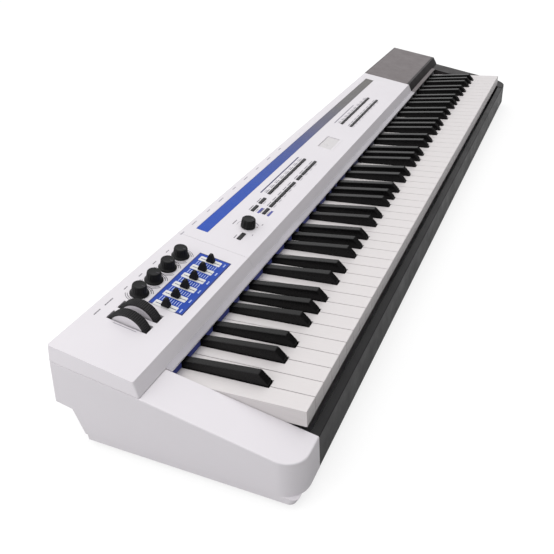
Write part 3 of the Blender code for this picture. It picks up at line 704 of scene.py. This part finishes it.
def end_block(name, side, material):
    """Closed end of the case: round front corner, soft upper edges, and the end of the tray below."""
    bm = bmesh.new()
    block_part(bm, side, SIDE_PROFILE, 0.0, 0.0, 26.0, 18)
    round_corner(bm, side * HALF_LENGTH, (SEAM_REAR[0] + REAR_STEP[0]) / 2, 2.0, 3)
    top = UNDER + 48.0 * MM
    soften(bm, 1.5, 4, lambda e: all(v.co.z > top and abs(v.co.x) > (HALF_SPAN + 1.0) * MM for v in e.verts)
           or all(v.co.z > top and v.co.y < FRONT + 1e-5 for v in e.verts))
    soften(bm, 0.6, 2, angle=35.0)
    piece(name, bm, material, "case", [name])
    bm = bmesh.new()
    block_part(bm, side, TRAY_PROFILE, TRAY_INSET, 8.5, 6.0, 8)
    soften(bm, 0.5, 2, angle=35.0)
    piece(name + "_tray", bm, material, "case")
    # Dark strip set into the gap under the top case: painted shade that makes the seam read as a dark line.
    bm = bmesh.new()
    prism(bm, [(171.4, 85.3), (277.6, 102.4), (277.6, 103.1), (171.4, 85.9)], side * (HALF_SPAN + 0.6),
          side * (HALF_LENGTH - 2.2))
    soften(bm, 0.15, 2)
    piece(name + "_seam_shade", bm, SEAM, "case")


def cover_outline(inset):
    """Side view of the top case: front slope, panel, rear wall."""
    return [(SHOULDER[0] + inset, SHOULDER[1] + SEAM_GAP), (CREST[0] + inset * 0.9, CREST[1] - inset),
            (PANEL_REAR[0] - inset, PANEL_REAR[1] - inset * 1.2),
            (SEAM_REAR[0] - inset, SEAM_REAR[1] + SEAM_GAP)]


def cover(name, x0, x1, side):
    """A length of the top case with a chamfered outer end and an open joint end."""
    bm = bmesh.new()
    outline = cover_outline(0.0)
    ends = []
    for x in (x0, x1):
        outer = abs(abs(x) - HALF_LENGTH) < 1.0
        shifts = [SIDE_LEAN * z + (SIDE_CHAMFER if outer and i in (1, 2) else 0.0)
                  for i, (y, z) in enumerate(outline)]
        ends.append([at(x - side * shift if outer else x, y, z) for shift, (y, z) in zip(shifts, outline)])
    loft(bm, ends[0], ends[1])
    round_corner(bm, side * HALF_LENGTH, SEAM_REAR[0], 2.0, 3)
    joint = (x1 if side < 0 else x0) * MM
    crest_y = FRONT + 179.0 * MM

    def slope_end(e):
        return (abs(e.verts[0].co.z - e.verts[1].co.z) > 8.0 * MM
                and all(v.co.y < crest_y and abs(v.co.x) > (HALF_LENGTH - 9.0) * MM for v in e.verts))

    def crest_or_panel(e):
        return (not all(abs(v.co.x - joint) < 1e-6 for v in e.verts)
                and all(v.co.z > UNDER + (SEAM_REAR[1] + 2.0) * MM
                        or v.co.y < crest_y and v.co.z > UNDER + 95.0 * MM for v in e.verts))

    soften(bm, 1.6, 4, slope_end)
    soften(bm, 1.3, 4, crest_or_panel)
    obj = new_object(name, bm)
    hollow = cover_outline(WALL)
    hollow[0] = (hollow[0][0], hollow[0][1] - 8.0)
    hollow[3] = (hollow[3][0], hollow[3][1] - 8.0)
    span = (-HALF_LENGTH + 14.0, x1 + 5.0) if side < 0 else (x0 - 5.0, HALF_LENGTH - 14.0)
    combine(obj, lambda b: prism(b, hollow, *span), "DIFFERENCE")
    lip_span = (-HALF_SPAN + 0.3, x1) if side < 0 else (x0, HALF_SPAN - 0.3)
    combine(obj, lambda b: prism(b, LIP, *lip_span), "UNION")
    return obj


def buttons_in(runs):
    """Left end, length and place from the front of every button in the runs."""
    return [(start + pitch * i, min(pitch - 1.9, 18.6), y)
            for start, pitch, count, y in runs for i in range(count)]


def knob_places():
    names = ["control_knob_%d_turn" % i for i in range(1, 5)] + ["volume_turn"]
    return [JOINTS[name]["pos_m"] for name in names]


def top_case():
    """White cover with the openings for the controls and the grooves for the plate and the strip."""
    obj = cover("top_shell", -HALF_LENGTH, CAP_X, -1)
    through = (-8.0, 4.0)

    def recesses(b):
        panel_box(b, PLATE_X, PLATE_Y, (-1.2, 4.0))
        panel_box(b, STRIPE_X, STRIPE_Y, (-1.2, 4.0))
        groove = [(CREST[0] + 104.0, CREST[1] + 20.8), (CREST[0] - 0.5, CREST[1] + 0.4),
                  (SHOULDER[0] - 1.0, SHOULDER[1] + 1.0), (SHOULDER[0] + 0.5, SHOULDER[1] + 0.2),
                  (CREST[0] + 0.45, CREST[1] - 0.5), (CREST[0] + 104.0, CREST[1] + 19.6)]
        prism(b, groove, SEAM_X - 0.2, SEAM_X + 0.2)

    def holes(b):
        for wheel in ("pitch_bend", "modulation"):
            x = JOINTS[wheel]["pos_m"][0] / MM
            half = WHEEL_W / 2 + 1.2
            panel_box(b, around(x, half), around(WHEEL_Y, 25.4), through)
        for x in SLIDER_X:
            panel_box(b, around(x, 2.0), around(SLIDER_Y, SLOT_HALF + 0.5), through)
        panel_plate(b, WINDOW_X, WINDOW_Y, through, 1.2)
        rows = [(BUTTON_DEPTH, buttons_in(runs)) for runs in BUTTON_RUNS.values()]
        for depth, spots in [(POWER_DEPTH, [POWER])] + rows:
            half = depth / 2 + BUTTON_CLEAR
            for x, width, y in spots:
                panel_plate(b, (x - BUTTON_CLEAR, x + width + BUTTON_CLEAR), around(y, half), through, 0.7)
        for place in knob_places():
            turned(b, place, PANEL_BASIS, [(0.0, -8.0), (3.6, -8.0), (3.6, 4.0), (0.0, 4.0)], 20)

    combine(obj, recesses, "DIFFERENCE")
    combine(obj, holes, "DIFFERENCE")
    piece("top_shell", obj, WHITE, "case", ["top_case"])
    # On the white lip the strip is a darker grey: painted shade and painted reflection of the keys.
    lip_trim("lip_shade_strip_left", -HALF_SPAN + 0.5, CAP_X - 0.2, LIP_PAINTED_SHADE)


def lip_trim(name, x0, x1, material):
    """Strip along the top of the lip over the keys, in the given material."""
    bm = bmesh.new()
    prism(bm, [(162.95, 84.66), (171.9, 86.56), (171.7, 86.95), (163.2, 85.05)], x0, x1)
    soften(bm, 0.12, 2)
    piece(name, bm, material, "case")


def right_cap():
    """Dark cap at the treble end, with a raised satin plate on top and a fine strip along the crest."""
    obj = cover("right_cap_shell", CAP_X + 0.3, HALF_LENGTH, 1)
    piece("right_cap_shell", obj, DARK, "case", ["right_top_cap"])
    bm = bmesh.new()
    x1 = HALF_LENGTH - SIDE_LEAN * 110.0 - SIDE_CHAMFER - 1.6
    panel_plate(bm, (CAP_X + 0.7, x1), (CREST[0] + 4.2, PANEL_REAR[0] - 1.8), (-0.3, 0.32), 1.0, 0.3)
    piece("right_cap_plate", bm, CAP_TOP, "case")
    lip_trim("lip_trim_right", CAP_X + 0.5, HALF_SPAN - 0.5, CAP_TOP)


def softened_copy(node, name, width, material):
    """The CAD node's own form with its flat faces merged and its edges rounded."""
    bm = bmesh.new()
    bm.from_mesh(frame["nodes"][node].data)
    bmesh.ops.remove_doubles(bm, verts=bm.verts, dist=2e-6)
    bmesh.ops.dissolve_limit(bm, angle_limit=math.radians(1.0), verts=bm.verts, edges=bm.edges)
    soften(bm, width, 2)
    piece(name, bm, material, "case", [node])


def key_slip():
    outline = [(0.0, 8.4), (0.0, 49.2), (10.0, 51.0), (10.0, 48.4), (WALL, 46.8), (WALL, 11.0), (8.0, 11.0),
               (8.0, 8.4)]
    bm = bmesh.new()
    prism(bm, outline, -HALF_SPAN + 0.3, HALF_SPAN - 0.3)
    soften(bm, 1.0, 4, lambda e: all(v.co.y < FRONT + 1e-6 and v.co.z > UNDER + 40.0 * MM for v in e.verts))
    soften(bm, 0.4, 2, angle=35.0)
    piece("key_slip_rail", bm, SLIP, "case", ["key_slip"])


def key_felt():
    """Felt strip with a soft, slightly wavy lower edge and a notch for each sharp."""
    low, high = 72.9, 83.5
    points = [(-HALF_SPAN + 0.3, high), (-HALF_SPAN + 0.3, low)]
    for n in range(NATURALS):
        centre = sharp_centre(n)
        if centre is not None:
            notch = ((-6.3, low), (-6.1, 80.8), (-5.2, 82.0), (5.2, 82.0), (6.1, 80.8), (6.3, low))
            points += [(centre + dx, z) for dx, z in notch]
    points += [(HALF_SPAN - 0.3, low), (HALF_SPAN - 0.3, high)]
    bm = bmesh.new()
    loft(bm, [at(x, 165.2, z) for x, z in points], [at(x, 167.2, z) for x, z in points])
    soften(bm, 0.45, 3, lambda e: all(v.co.y < FRONT + 165.3 * MM for v in e.verts))
    piece("key_felt_strip", bm, FELT, "case", ["key_felt"])


def accent_strip():
    """Ribbed strip: fine ridges across a band laid into the panel, between two dark hairlines."""
    (x0, x1), (y0, y1) = shrunk(STRIPE_X, 0.3), shrunk(STRIPE_Y, 0.3)
    count = int((x1 - x0) / 1.8)
    bm = bmesh.new()
    columns = []
    for k in range(count * 4 + 1):
        x = x0 + (x1 - x0) * k / (count * 4)
        top = -0.12 + (0.0, 0.17, 0.22, 0.17)[k % 4]
        section = [(y0, -0.85), (y0, -0.12), (y0 + 0.5, top), (y1 - 0.5, top), (y1, -0.12), (y1, -0.85)]
        columns.append([bm.verts.new(on_panel(x, y, height)) for y, height in section])
    stitch(bm, columns)
    piece("accent_strip_ribs", bm, STRIPE, "case", ["accent_strip"], angle=60.0)


def slider_plate():
    """Blue plate with pale tracks round the slots and fine scale lines between them."""
    bm = bmesh.new()
    panel_plate(bm, shrunk(PLATE_X, 0.3), shrunk(PLATE_Y, 0.3), (-0.9, 0.3), 0.8, 0.25)
    obj = new_object("slider_plate_blue", bm)

    def slots(b):
        for x in SLIDER_X:
            panel_plate(b, around(x, 0.9), around(SLIDER_Y, 13.6), (-6.0, 4.0), 0.8)

    combine(obj, slots, "DIFFERENCE")
    piece("slider_plate_blue", obj, PLATE, "case", ["slider_plate"])
    for i, x in enumerate(SLIDER_X):
        track(i + 1, x)
    bm = bmesh.new()
    for x in [(SLIDER_X[i] + SLIDER_X[i + 1]) / 2 for i in range(5)]:
        for k in range(9):
            y = SLIDER_Y + 0.5 + 3.09 * (k - 4)
            reach = 4.3 if k in (0, 4, 8) else 3.4
            panel_box(bm, around(x, reach), around(y, 0.42), (0.29, 0.34))
    for i, x in enumerate(SLIDER_X):
        words(bm, x - 1.6, 194.2, 6.4, 1.7, i, 0.3)
    piece("slider_plate_scales", bm, INK_SCALE, "case")
    # Dark line round the plate's edge: painted shadow along the border of the plate.
    bm = bmesh.new()
    (x0, x1), (y0, y1) = shrunk(PLATE_X, 0.5), shrunk(PLATE_Y, 0.5)
    inside = (y0 + 0.9, y1 - 0.9)
    for x, y in (((x0, x1), (y0, y0 + 0.9)), ((x0, x1), (y1 - 0.9, y1)), ((x0, x0 + 1.1), inside),
                 ((x1 - 1.1, x1), inside)):
        panel_box(bm, x, y, (0.02, 0.33))
    piece("slider_plate_border", bm, INK_NIGHT_AND_SHADE, "case")


def track(number, x):
    """Pale recess round a slider's slot."""
    y = SLIDER_Y + 0.5
    outer = round_outline(around(x, 4.9), around(y, 14.6), 1.2)
    rim = round_outline(around(x, 4.5), around(y, 14.2), 1.1)
    floor = round_outline(around(x, 4.1), around(y, 13.9), 1.0)
    inner = round_outline(around(x, 0.5), around(SLIDER_Y, 13.3), 0.4)
    bm = bmesh.new()
    levels = [(outer, 0.28), (outer, 0.5), (rim, 0.56), (floor, 0.38), (inner, 0.36), (inner, 0.28)]
    stitch_round(bm, [panel_ring(bm, outline, height) for outline, height in levels])
    piece("slider_track_%d" % number, bm, TRACK, "case", angle=40.0)


def words(bm, x, y, width, depth, seed, height=0.0):
    """A printed caption drawn as a row of short plain bars, with no letters."""
    place = x
    k = seed * 3
    while place < x + width - 0.5:
        length = min((1.1, 1.9, 0.8, 1.5, 2.3)[k % 5], x + width - place)
        panel_box(bm, (place, place + length), around(y, depth / 2), (height - 0.02, height + 0.04))
        place += length + 0.45
        k += 1


def arc_mark(bm, centre, radius, width, start, end, taper=False):
    """A printed arc round a knob, flat on the panel, in degrees from the treble side."""
    steps = 22
    rings = []
    for k in range(steps + 1):
        angle = math.radians(start + (end - start) * k / steps)
        half = width / 2 * (0.25 + 0.75 * k / steps if taper else 1.0)
        out = PANEL_BASIS[0] * math.cos(angle) + PANEL_BASIS[1] * math.sin(angle)
        rings.append([bm.verts.new(Vector(centre) + out * ((radius + dr) * MM) + PANEL_NORMAL * (h * MM))
                      for dr, h in ((-half, -0.02), (half, -0.02), (half, 0.03), (-half, 0.03))])
    stitch(bm, rings)


def display():
    """Display pane in a thin raised bezel."""

    def frame_outline(grow, radius):
        return round_outline(shrunk(WINDOW_X, -grow), shrunk(WINDOW_Y, -grow), radius)

    bm = bmesh.new()
    panel_plate(bm, shrunk(WINDOW_X, 0.3), shrunk(WINDOW_Y, 0.3), (-2.2, -0.55), 1.0, 0.3)
    piece("display_pane", bm, LCD, "case", ["display_window"])
    bm = bmesh.new()
    outer, crown, inner = frame_outline(4.2, 2.6), frame_outline(3.4, 2.2), frame_outline(0.1, 1.3)
    levels = [(outer, -0.1), (outer, 0.12), (crown, 0.4), (inner, 0.1), (inner, -0.1)]
    stitch_round(bm, [panel_ring(bm, outline, height) for outline, height in levels])
    piece("display_bezel", bm, WHITE, "case", angle=40.0)


def jack_plate():
    """Black plate in the rear wall with a steel collar round each socket."""
    low, high = 9.3, 40.7
    outline = [rear_wall(low, -3.6), rear_wall(high, -3.6), rear_wall(high, -0.8), rear_wall(low, -0.8)]
    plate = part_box("rear_jack_plate")
    bm = bmesh.new()
    prism(bm, outline, plate[0].x / MM, plate[1].x / MM)
    soften(bm, 0.5, 2)
    obj = new_object("jack_plate", bm)
    along = (Vector(SEAM_REAR) - Vector(REAR_STEP)).normalized()
    basis = (X_AXIS, Vector((0.0, along.x, along.y)), Vector((0.0, along.y, -along.x)))
    centres = []
    for opening in RECORD["physics"]["openings"]:
        a, b = Vector(opening["box_m"][0]), Vector(opening["box_m"][1])
        y, z = rear_wall((low + high) / 2, -0.8)
        centres.append(at((a.x + b.x) / 2 / MM, y, z))

    def sockets(b):
        for centre in centres:
            turned(b, centre, basis, [(0.0, -8.0), (5.0, -8.0), (5.0, 6.0), (0.0, 6.0)], 28)

    combine(obj, sockets, "DIFFERENCE")
    piece("jack_plate", obj, JACK_BLACK, "case", ["rear_jack_plate"])
    for i, centre in enumerate(centres):
        bm = bmesh.new()
        profile = [(5.0, -2.6), (5.0, 0.02), (7.0, 0.02), (7.0, 0.35), (6.5, 0.75), (4.3, 0.75), (3.6, 0.3),
                   (3.6, -2.6)]
        swept_ring(bm, centre, basis, profile, 36)
        piece("jack_ring_%d" % (i + 1), bm, BRIGHT_STEEL, "case", angle=30.0)


def foot(node):
    low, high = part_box(node)
    centre = Vector(((low.x + high.x) / 2, (low.y + high.y) / 2, low.z))
    bm = bmesh.new()
    profile = [(0.0, 0.0), (9.4, 0.0), (10.2, 0.25), (10.7, 0.9), (11.5, 3.6), (12.0, 4.7), (0.0, 4.7)]
    turned(bm, centre, (X_AXIS, Y_AXIS, Z_AXIS), profile, 48)
    piece(node + "_rubber", bm, RUBBER, "case", [node])


def screws():
    """Recessed cross-head screws in the underside."""
    profile = [(0.0, -1.0), (3.9, -1.0), (3.9, 0.35), (3.4, 0.8), (1.2, 0.95), (0.0, 0.55)]
    bm = bmesh.new()
    for x in (-590.0, -420.0, -240.0, -60.0, 60.0, 240.0, 420.0, 590.0):
        for y in (24.0, 130.0, 246.0):
            turned(bm, at(x, y, 0.0), (X_AXIS, -Y_AXIS, -Z_AXIS), profile, 20)
    piece("underside_screws", bm, BRIGHT_STEEL, "case")


# ---- moving controls -----------------------------------------------------------------------------

def wheel(joint, body):
    """White hub with a ribbed black tyre."""
    centre = Vector(JOINTS[joint]["pos_m"])
    basis = (Y_AXIS, Z_AXIS, X_AXIS)
    bm = bmesh.new()
    profile = [(0.0, -9.4), (2.5, -9.4), (2.5, -5.4), (18.8, -5.4), (19.3, -5.7), (22.6, -5.7), (22.6, 5.7),
               (19.3, 5.7), (18.8, 5.4), (2.5, 5.4), (2.5, 9.4), (0.0, 9.4)]
    turned(bm, centre, basis, profile, 96)
    piece(body + "_hub", bm, WHITE, body, [body])
    ribs = 64

    def wave(turn, row):
        if row not in (2, 3, 4, 5):
            return 1.0
        return (1.0, 1.0, 0.972, 0.966, 0.972)[round(turn * ribs * 5) % 5]

    bm = bmesh.new()
    ring = [(22.6, -6.0), (24.9, -6.0), (25.7, -5.3), (26.0, -2.0), (26.0, 2.0), (25.7, 5.3), (24.9, 6.0),
            (22.6, 6.0)]
    swept_ring(bm, centre, basis, ring, ribs * 5, wave)
    piece(body + "_tyre", bm, TYRE, body, angle=24.0)


def control_knob(number):
    """Flared skirt below a fluted, slightly tapered grip with a dished top."""
    body = "control_knob_%d" % number
    centre = JOINTS[body + "_turn"]["pos_m"]
    profile = [(0.0, -9.0), (3.0, -9.0), (3.0, 0.5), (10.8, 0.5), (11.4, 0.8), (11.4, 1.6), (11.0, 2.1),
               (10.2, 2.8), (9.6, 3.5), (9.35, 4.4), (9.2, 5.5), (8.95, 8.0), (8.75, 10.6), (8.5, 12.0),
               (8.0, 12.9), (7.3, 13.3), (6.5, 13.2), (5.8, 12.9), (0.0, 12.8)]
    flutes = 20

    def wave(turn, row):
        depth = {10: 0.02, 11: 0.045, 12: 0.05, 13: 0.035}.get(row, 0.0)
        return 1.0 - depth * (0.5 - 0.5 * math.cos(2 * math.pi * flutes * turn)) ** 0.6

    bm = bmesh.new()
    turned(bm, centre, PANEL_BASIS, profile, flutes * 6, wave)
    piece(body + "_cap", bm, BLACK, body, [body], angle=40.0)
    pointer(body, centre, 3.2, 7.6, 12.9, 13.3)


def pointer(body, centre, inner, outer, low, high):
    """Pale line on a knob's top, towards the front of the panel."""
    bm = bmesh.new()
    across, along, axis = PANEL_BASIS
    rings = []
    for height, half in ((low - 0.25, 0.32), (high - 0.1, 0.32), (high, 0.24)):
        corners = [(-half, -inner), (half, -inner), (half, -outer), (-half, -outer)]
        middle = Vector(centre) + axis * (height * MM)
        rings.append([bm.verts.new(middle + across * (u * MM) + along * (v * MM)) for u, v in corners])
    stitch(bm, rings)
    piece(body + "_pointer", bm, INK_GREY, body)


def volume_knob():
    """Larger knob with broad grips."""
    centre = JOINTS["volume_turn"]["pos_m"]
    profile = [(0.0, -9.0), (3.0, -9.0), (3.0, 0.5), (9.6, 0.5), (10.2, 0.9), (10.3, 1.8), (10.2, 3.0),
               (10.0, 6.0), (9.7, 10.0), (9.5, 11.6), (9.0, 12.5), (8.2, 12.95), (7.2, 12.9), (6.6, 12.6),
               (0.0, 12.4)]
    lobes = 10

    def wave(turn, row):
        depth = {5: 0.01, 6: 0.05, 7: 0.085, 8: 0.09, 9: 0.08, 10: 0.05, 11: 0.02}.get(row, 0.0)
        return 1.0 - depth * max(0.0, math.cos(2 * math.pi * lobes * turn)) ** 0.7

    bm = bmesh.new()
    turned(bm, centre, PANEL_BASIS, profile, lobes * 14, wave)
    piece("volume_knob_cap", bm, BLACK, "volume_knob", ["volume_knob"], angle=40.0)
    pointer("volume_knob", centre, 3.6, 8.2, 12.6, 13.0)


def slider_cap(number):
    """Concave pyramid with a narrow ridge, on a flat stem."""
    body = "slider_%d" % number
    x = SLIDER_X[number - 1]
    bm = bmesh.new()
    panel_box(bm, around(x, 0.35), around(SLIDER_Y, 1.2), (-9.0, 1.2))
    levels = [(2.9, 4.7, 0.7), (3.25, 5.05, 1.0), (3.3, 5.1, 2.6), (3.25, 4.9, 3.6), (3.1, 4.3, 5.2),
              (2.9, 3.6, 7.2), (2.7, 2.9, 9.2), (2.5, 2.3, 10.8), (2.3, 1.9, 11.6), (1.9, 1.5, 12.0)]
    rings = []
    for half_x, half_y, height in levels:
        outline = round_outline(around(x, half_x), around(SLIDER_Y, half_y), 0.7, 3)
        rings.append(panel_ring(bm, outline, height))
    stitch(bm, rings)
    piece(body + "_cap", bm, BLACK, body, [body], angle=42.0)


def button(name, x, width, y, depth, body):
    """Narrow bar with round ends and a soft upper edge."""
    bm = bmesh.new()
    levels = [(0.0, -4.5), (0.0, 0.75), (0.12, 1.08), (0.4, 1.26), (0.8, 1.3)]
    rings = []
    for inset, height in levels:
        outline = round_outline(shrunk((x, x + width), inset), shrunk(around(y, depth / 2), inset),
                                max(0.7 - inset, 0.15), 4)
        rings.append(panel_ring(bm, outline, height))
    stitch(bm, rings)
    piece(name, bm, BUTTON, body, angle=40.0)


def button_row(body, spots, depth):
    """Buttons of a row and the web that joins them below the panel."""
    left = min(x for x, width, y in spots)
    right = max(x + width for x, width, y in spots)
    y = spots[0][2]
    bm = bmesh.new()
    panel_plate(bm, (left - 1.5, right + 1.5), around(y, 3.5), (-5.6, -4.0), 1.2, 0.3)
    piece(body + "_web", bm, BUTTON, body, [body])
    for i, (x, width, y) in enumerate(spots):
        name = body + "_bar" if body == "power_button" else "%s_%02d" % (body, i + 1)
        button(name, x, width, y, depth, body)


# ---- printed marks -------------------------------------------------------------------------------

def prints():
    """Printed captions and lines as plain bars and arcs, and the power lamp."""
    grey, pale, blue, mid = [bmesh.new() for ink in range(4)]
    for i in range(1, 5):
        centre = Vector(JOINTS["control_knob_%d_turn" % i]["pos_m"])
        x = centre.x / MM
        for radius in (13.7, 16.0):
            arc_mark(grey, centre, radius, 0.75, 118.0, 242.0)
            arc_mark(grey, centre, radius, 0.75, -62.0, 62.0)
        words(grey, x - 20.6, KNOB_Y - 8.5, 3.0, 1.2, i)
        words(grey, x - 20.6, KNOB_Y + 3.0, 3.6, 1.2, i + 1)
        words(grey, x + 12.0, KNOB_Y + 12.6, 3.6, 1.2, i + 3)
        words(grey, x - 3.4, KNOB_Y + 18.4, 7.0, 1.3, i + 4)
    centre = Vector(JOINTS["volume_turn"]["pos_m"])
    arc_mark(mid, centre, 15.6, 1.7, 108.0, -46.0, taper=True)
    words(grey, VOLUME_XY[0] - 17.5, VOLUME_XY[1] - 14.6, 3.6, 1.2, 2)
    words(grey, VOLUME_XY[0] + 13.5, VOLUME_XY[1] - 14.6, 4.2, 1.2, 1)
    words(grey, VOLUME_XY[0] - 6.5, VOLUME_XY[1] + 20.0, 13.0, 1.4, 4)
    words(grey, POWER[0], POWER[2] + 6.6, 9.0, 1.3, 3)
    for seed, row in enumerate(BUTTON_RUNS):
        for i, (x, width, y) in enumerate(buttons_in(BUTTON_RUNS[row])):
            words(grey, x + 1.0, y + 5.0, width * 0.8, 1.35, i + seed)
            if "upper" in row:
                words(pale, x + 1.6, y + 7.6, width * 0.6, 1.0, i + seed + 2)
            else:
                words(pale, x + 1.6, y - 4.9, width * 0.55, 1.0, i + seed + 1)
    words(grey, -592.8, 269.0, 12.0, 1.4, 1)
    words(grey, -573.3, 268.8, 15.0, 1.4, 3)
    # Thin grey line along the panel beside the wheel openings.
    panel_box(pale, (-592.9, -592.1), (215.8, 245.0), (-0.02, 0.03))
    for x, width in ((-402.0, 9.0), (-372.0, 12.0), (-330.0, 8.0), (-296.0, 14.0), (-252.0, 10.0),
                     (-214.0, 12.0), (-172.0, 9.0), (-130.0, 12.0), (-84.0, 9.0)):
        words(pale, x, 274.0, width, 1.4, int(width))
    for x0, x1, y in ((-291.0, -274.0, 214.9), (-290.5, -273.5, 199.9)):
        panel_plate(blue, (x0, x1), around(y, 1.7), (-0.02, 0.05), 0.5)
    piece("volume_swoosh", mid, INK_PALE, "case")
    piece("panel_captions", grey, INK_GREY, "case")
    piece("panel_captions_pale", pale, INK_PALE, "case")
    piece("panel_captions_blue", blue, INK_BLUE, "case")
    lines = [("left_section_line", (-235.0, -87.0), 236.5, INK_NIGHT_AND_SHADE, "stripe_blue"),
             ("right_section_line", (91.0, 201.6), 237.0, INK_PALE, "case_white")]
    for name, x, y, material, slot in lines:
        bm = bmesh.new()
        panel_box(bm, x, around(y, 1.0), (-0.02, 0.05))
        piece(name, bm, material, "case")
    bm = bmesh.new()
    dome = [(0.0, -0.1), (0.9, -0.1), (0.9, 0.15), (0.5, 0.4), (0.0, 0.48)]
    turned(bm, on_panel(-325.8, 199.5), PANEL_BASIS, dome, 20)
    piece("power_lamp", bm, LED_RED, "case")


# ---- keys ----------------------------------------------------------------------------------------

def boundary(n):
    return -HALF_SPAN + KEY_PITCH * n


def letter(n):
    return "ABCDEFG"[n % 7]


def sharp_centre(n):
    """Middle of the sharp right of natural n, or None where there is none."""
    if letter(n) not in SHARP_SHIFT or n >= NATURALS - 1 or n < 0:
        return None
    return boundary(n + 1) + SHARP_SHIFT[letter(n)]


def natural(n, comb):
    """White key: wide head, stem between the sharps, softened edges."""
    left, right = boundary(n) + 0.4, boundary(n + 1) - 0.4
    clear = SHARP_HALF + 0.9
    before, after = sharp_centre(n - 1), sharp_centre(n)
    stem_left = before + clear if before is not None else left
    stem_right = after - clear if after is not None else right
    outline = [(left, KEY_FRONT_Y), (right, KEY_FRONT_Y)]
    if stem_right < right:
        outline += [(right, HEAD_END_Y), (stem_right, HEAD_END_Y)]
    outline += [(stem_right, STEM_END_Y), (stem_left, STEM_END_Y)]
    if stem_left > left:
        outline += [(stem_left, HEAD_END_Y), (left, HEAD_END_Y)]
    bm = bmesh.new()
    loft(bm, *[[at(x, y, key_top(y) - depth) for x, y in outline] for depth in (20.0, 0.0)])
    level = UNDER + 68.0 * MM
    front = FRONT + (KEY_FRONT_Y + 0.5) * MM
    soften(bm, 0.8, 3, lambda e: all(v.co.z > level and v.co.y < front for v in e.verts))
    soften(bm, 0.45, 2, lambda e: all(v.co.z > level for v in e.verts)
           or all(v.co.y < front for v in e.verts), angle=40.0)
    piece("key_natural_%02d" % (n + 1), bm, IVORY, comb, [comb])
    return stem_left, stem_right


def sharp(n, comb):
    """Black key: tapered, with a sloping front and round upper edges."""
    x = sharp_centre(n)
    front, slope, low, side = SHARP_FRONT_Y, SHARP_FRONT_Y + 10.3, -14.0, -1.0
    rows = [(front, 0.9, 5.15), (front + 0.9, 3.0, 5.1), (slope, 13.4, 4.65), (slope + 30.0, 11.8, 4.65),
            (SHARP_BACK_Y, 8.4, 4.65), (STEM_END_Y, 0.5, 4.65)]
    bm = bmesh.new()
    rings = []
    for y, high, top in rows:
        z = key_top(y)
        section = [(-SHARP_HALF, low), (SHARP_HALF, low), (SHARP_HALF, side), (top, high), (-top, high),
                   (-SHARP_HALF, side)]
        rings.append([bm.verts.new(at(x + dx, y, z + dz)) for dx, dz in section])
    stitch(bm, rings)

    def above_top(vert):
        return vert.co.z > at(0, 0, key_top((vert.co.y - FRONT) / MM) - 0.2).z

    soften(bm, 1.1, 4, lambda e: all(above_top(v) for v in e.verts))
    piece("key_sharp_%02d" % (n + 1), bm, EBONY, comb, [comb], angle=38.0)
    return x - SHARP_HALF, x + SHARP_HALF


def comb_rail(comb, family, spans, material):
    """Rail at the rear that the keys of a comb share."""
    low = RAIL_Z[family]
    left = min(span[0] for span in spans)
    right = max(span[1] for span in spans)
    bm = bmesh.new()
    box(bm, (left, right), (240.0, 248.0), (low, low + 4.5))
    soften(bm, 0.6, 2)
    for a, b in spans:
        box(bm, (a + 0.6, b - 0.6), (235.9, 240.4), (low + 0.5, low + 4.0))
    piece(comb + "_rail", bm, material, comb)


def keyboard():
    """All 88 keys, comb by comb. The lowest three and the highest join their neighbours' combs."""
    last = NATURALS - 1
    for octave in range(1, 8):
        first = 2 + 7 * (octave - 1)
        cegb = [first, first + 2, first + 4, first + 6]
        dfa = [first + 1, first + 3, first + 5]
        sharps = [first, first + 1, first + 3, first + 4, first + 5]
        if octave == 1:
            cegb = [1] + cegb
            dfa = [0] + dfa
            sharps = [0] + sharps
        if octave == 7:
            cegb.append(last)
        for family, members in (("naturals_cegb", cegb), ("naturals_dfa", dfa), ("sharps", sharps)):
            comb = "%s_%d" % (family, octave)
            dark = family == "sharps"
            spans = [(sharp if dark else natural)(n, comb) for n in members]
            comb_rail(comb, family, spans, EBONY if dark else IVORY)


# ---- assembly ------------------------------------------------------------------------------------

end_block("left_end_block", -1, WHITE)
end_block("right_end_block", 1, DARK)
top_case()
right_cap()
softened_copy("bottom_case", "bottom_shell", 0.7, WHITE)
key_slip()
key_felt()
accent_strip()
slider_plate()
display()
jack_plate()
for number in range(1, 5):
    foot("foot_%d" % number)
screws()
wheel("pitch_bend", "pitch_bend_wheel")
wheel("modulation", "modulation_wheel")
for number in range(1, 5):
    control_knob(number)
volume_knob()
for number in range(1, 7):
    slider_cap(number)
for row, runs in BUTTON_RUNS.items():
    button_row(row, buttons_in(runs), BUTTON_DEPTH)
button_row("power_button", [POWER], POWER_DEPTH)
prints()
keyboard()

for node, material in (("key_chassis", SHEET_STEEL), ("wheel_bracket", SHEET_STEEL),
                       ("key_contact_board", BOARD), ("main_board", BOARD), ("display_module", LCD)):
    for material_slot in frame["nodes"][node].material_slots:
        material_slot.material = material
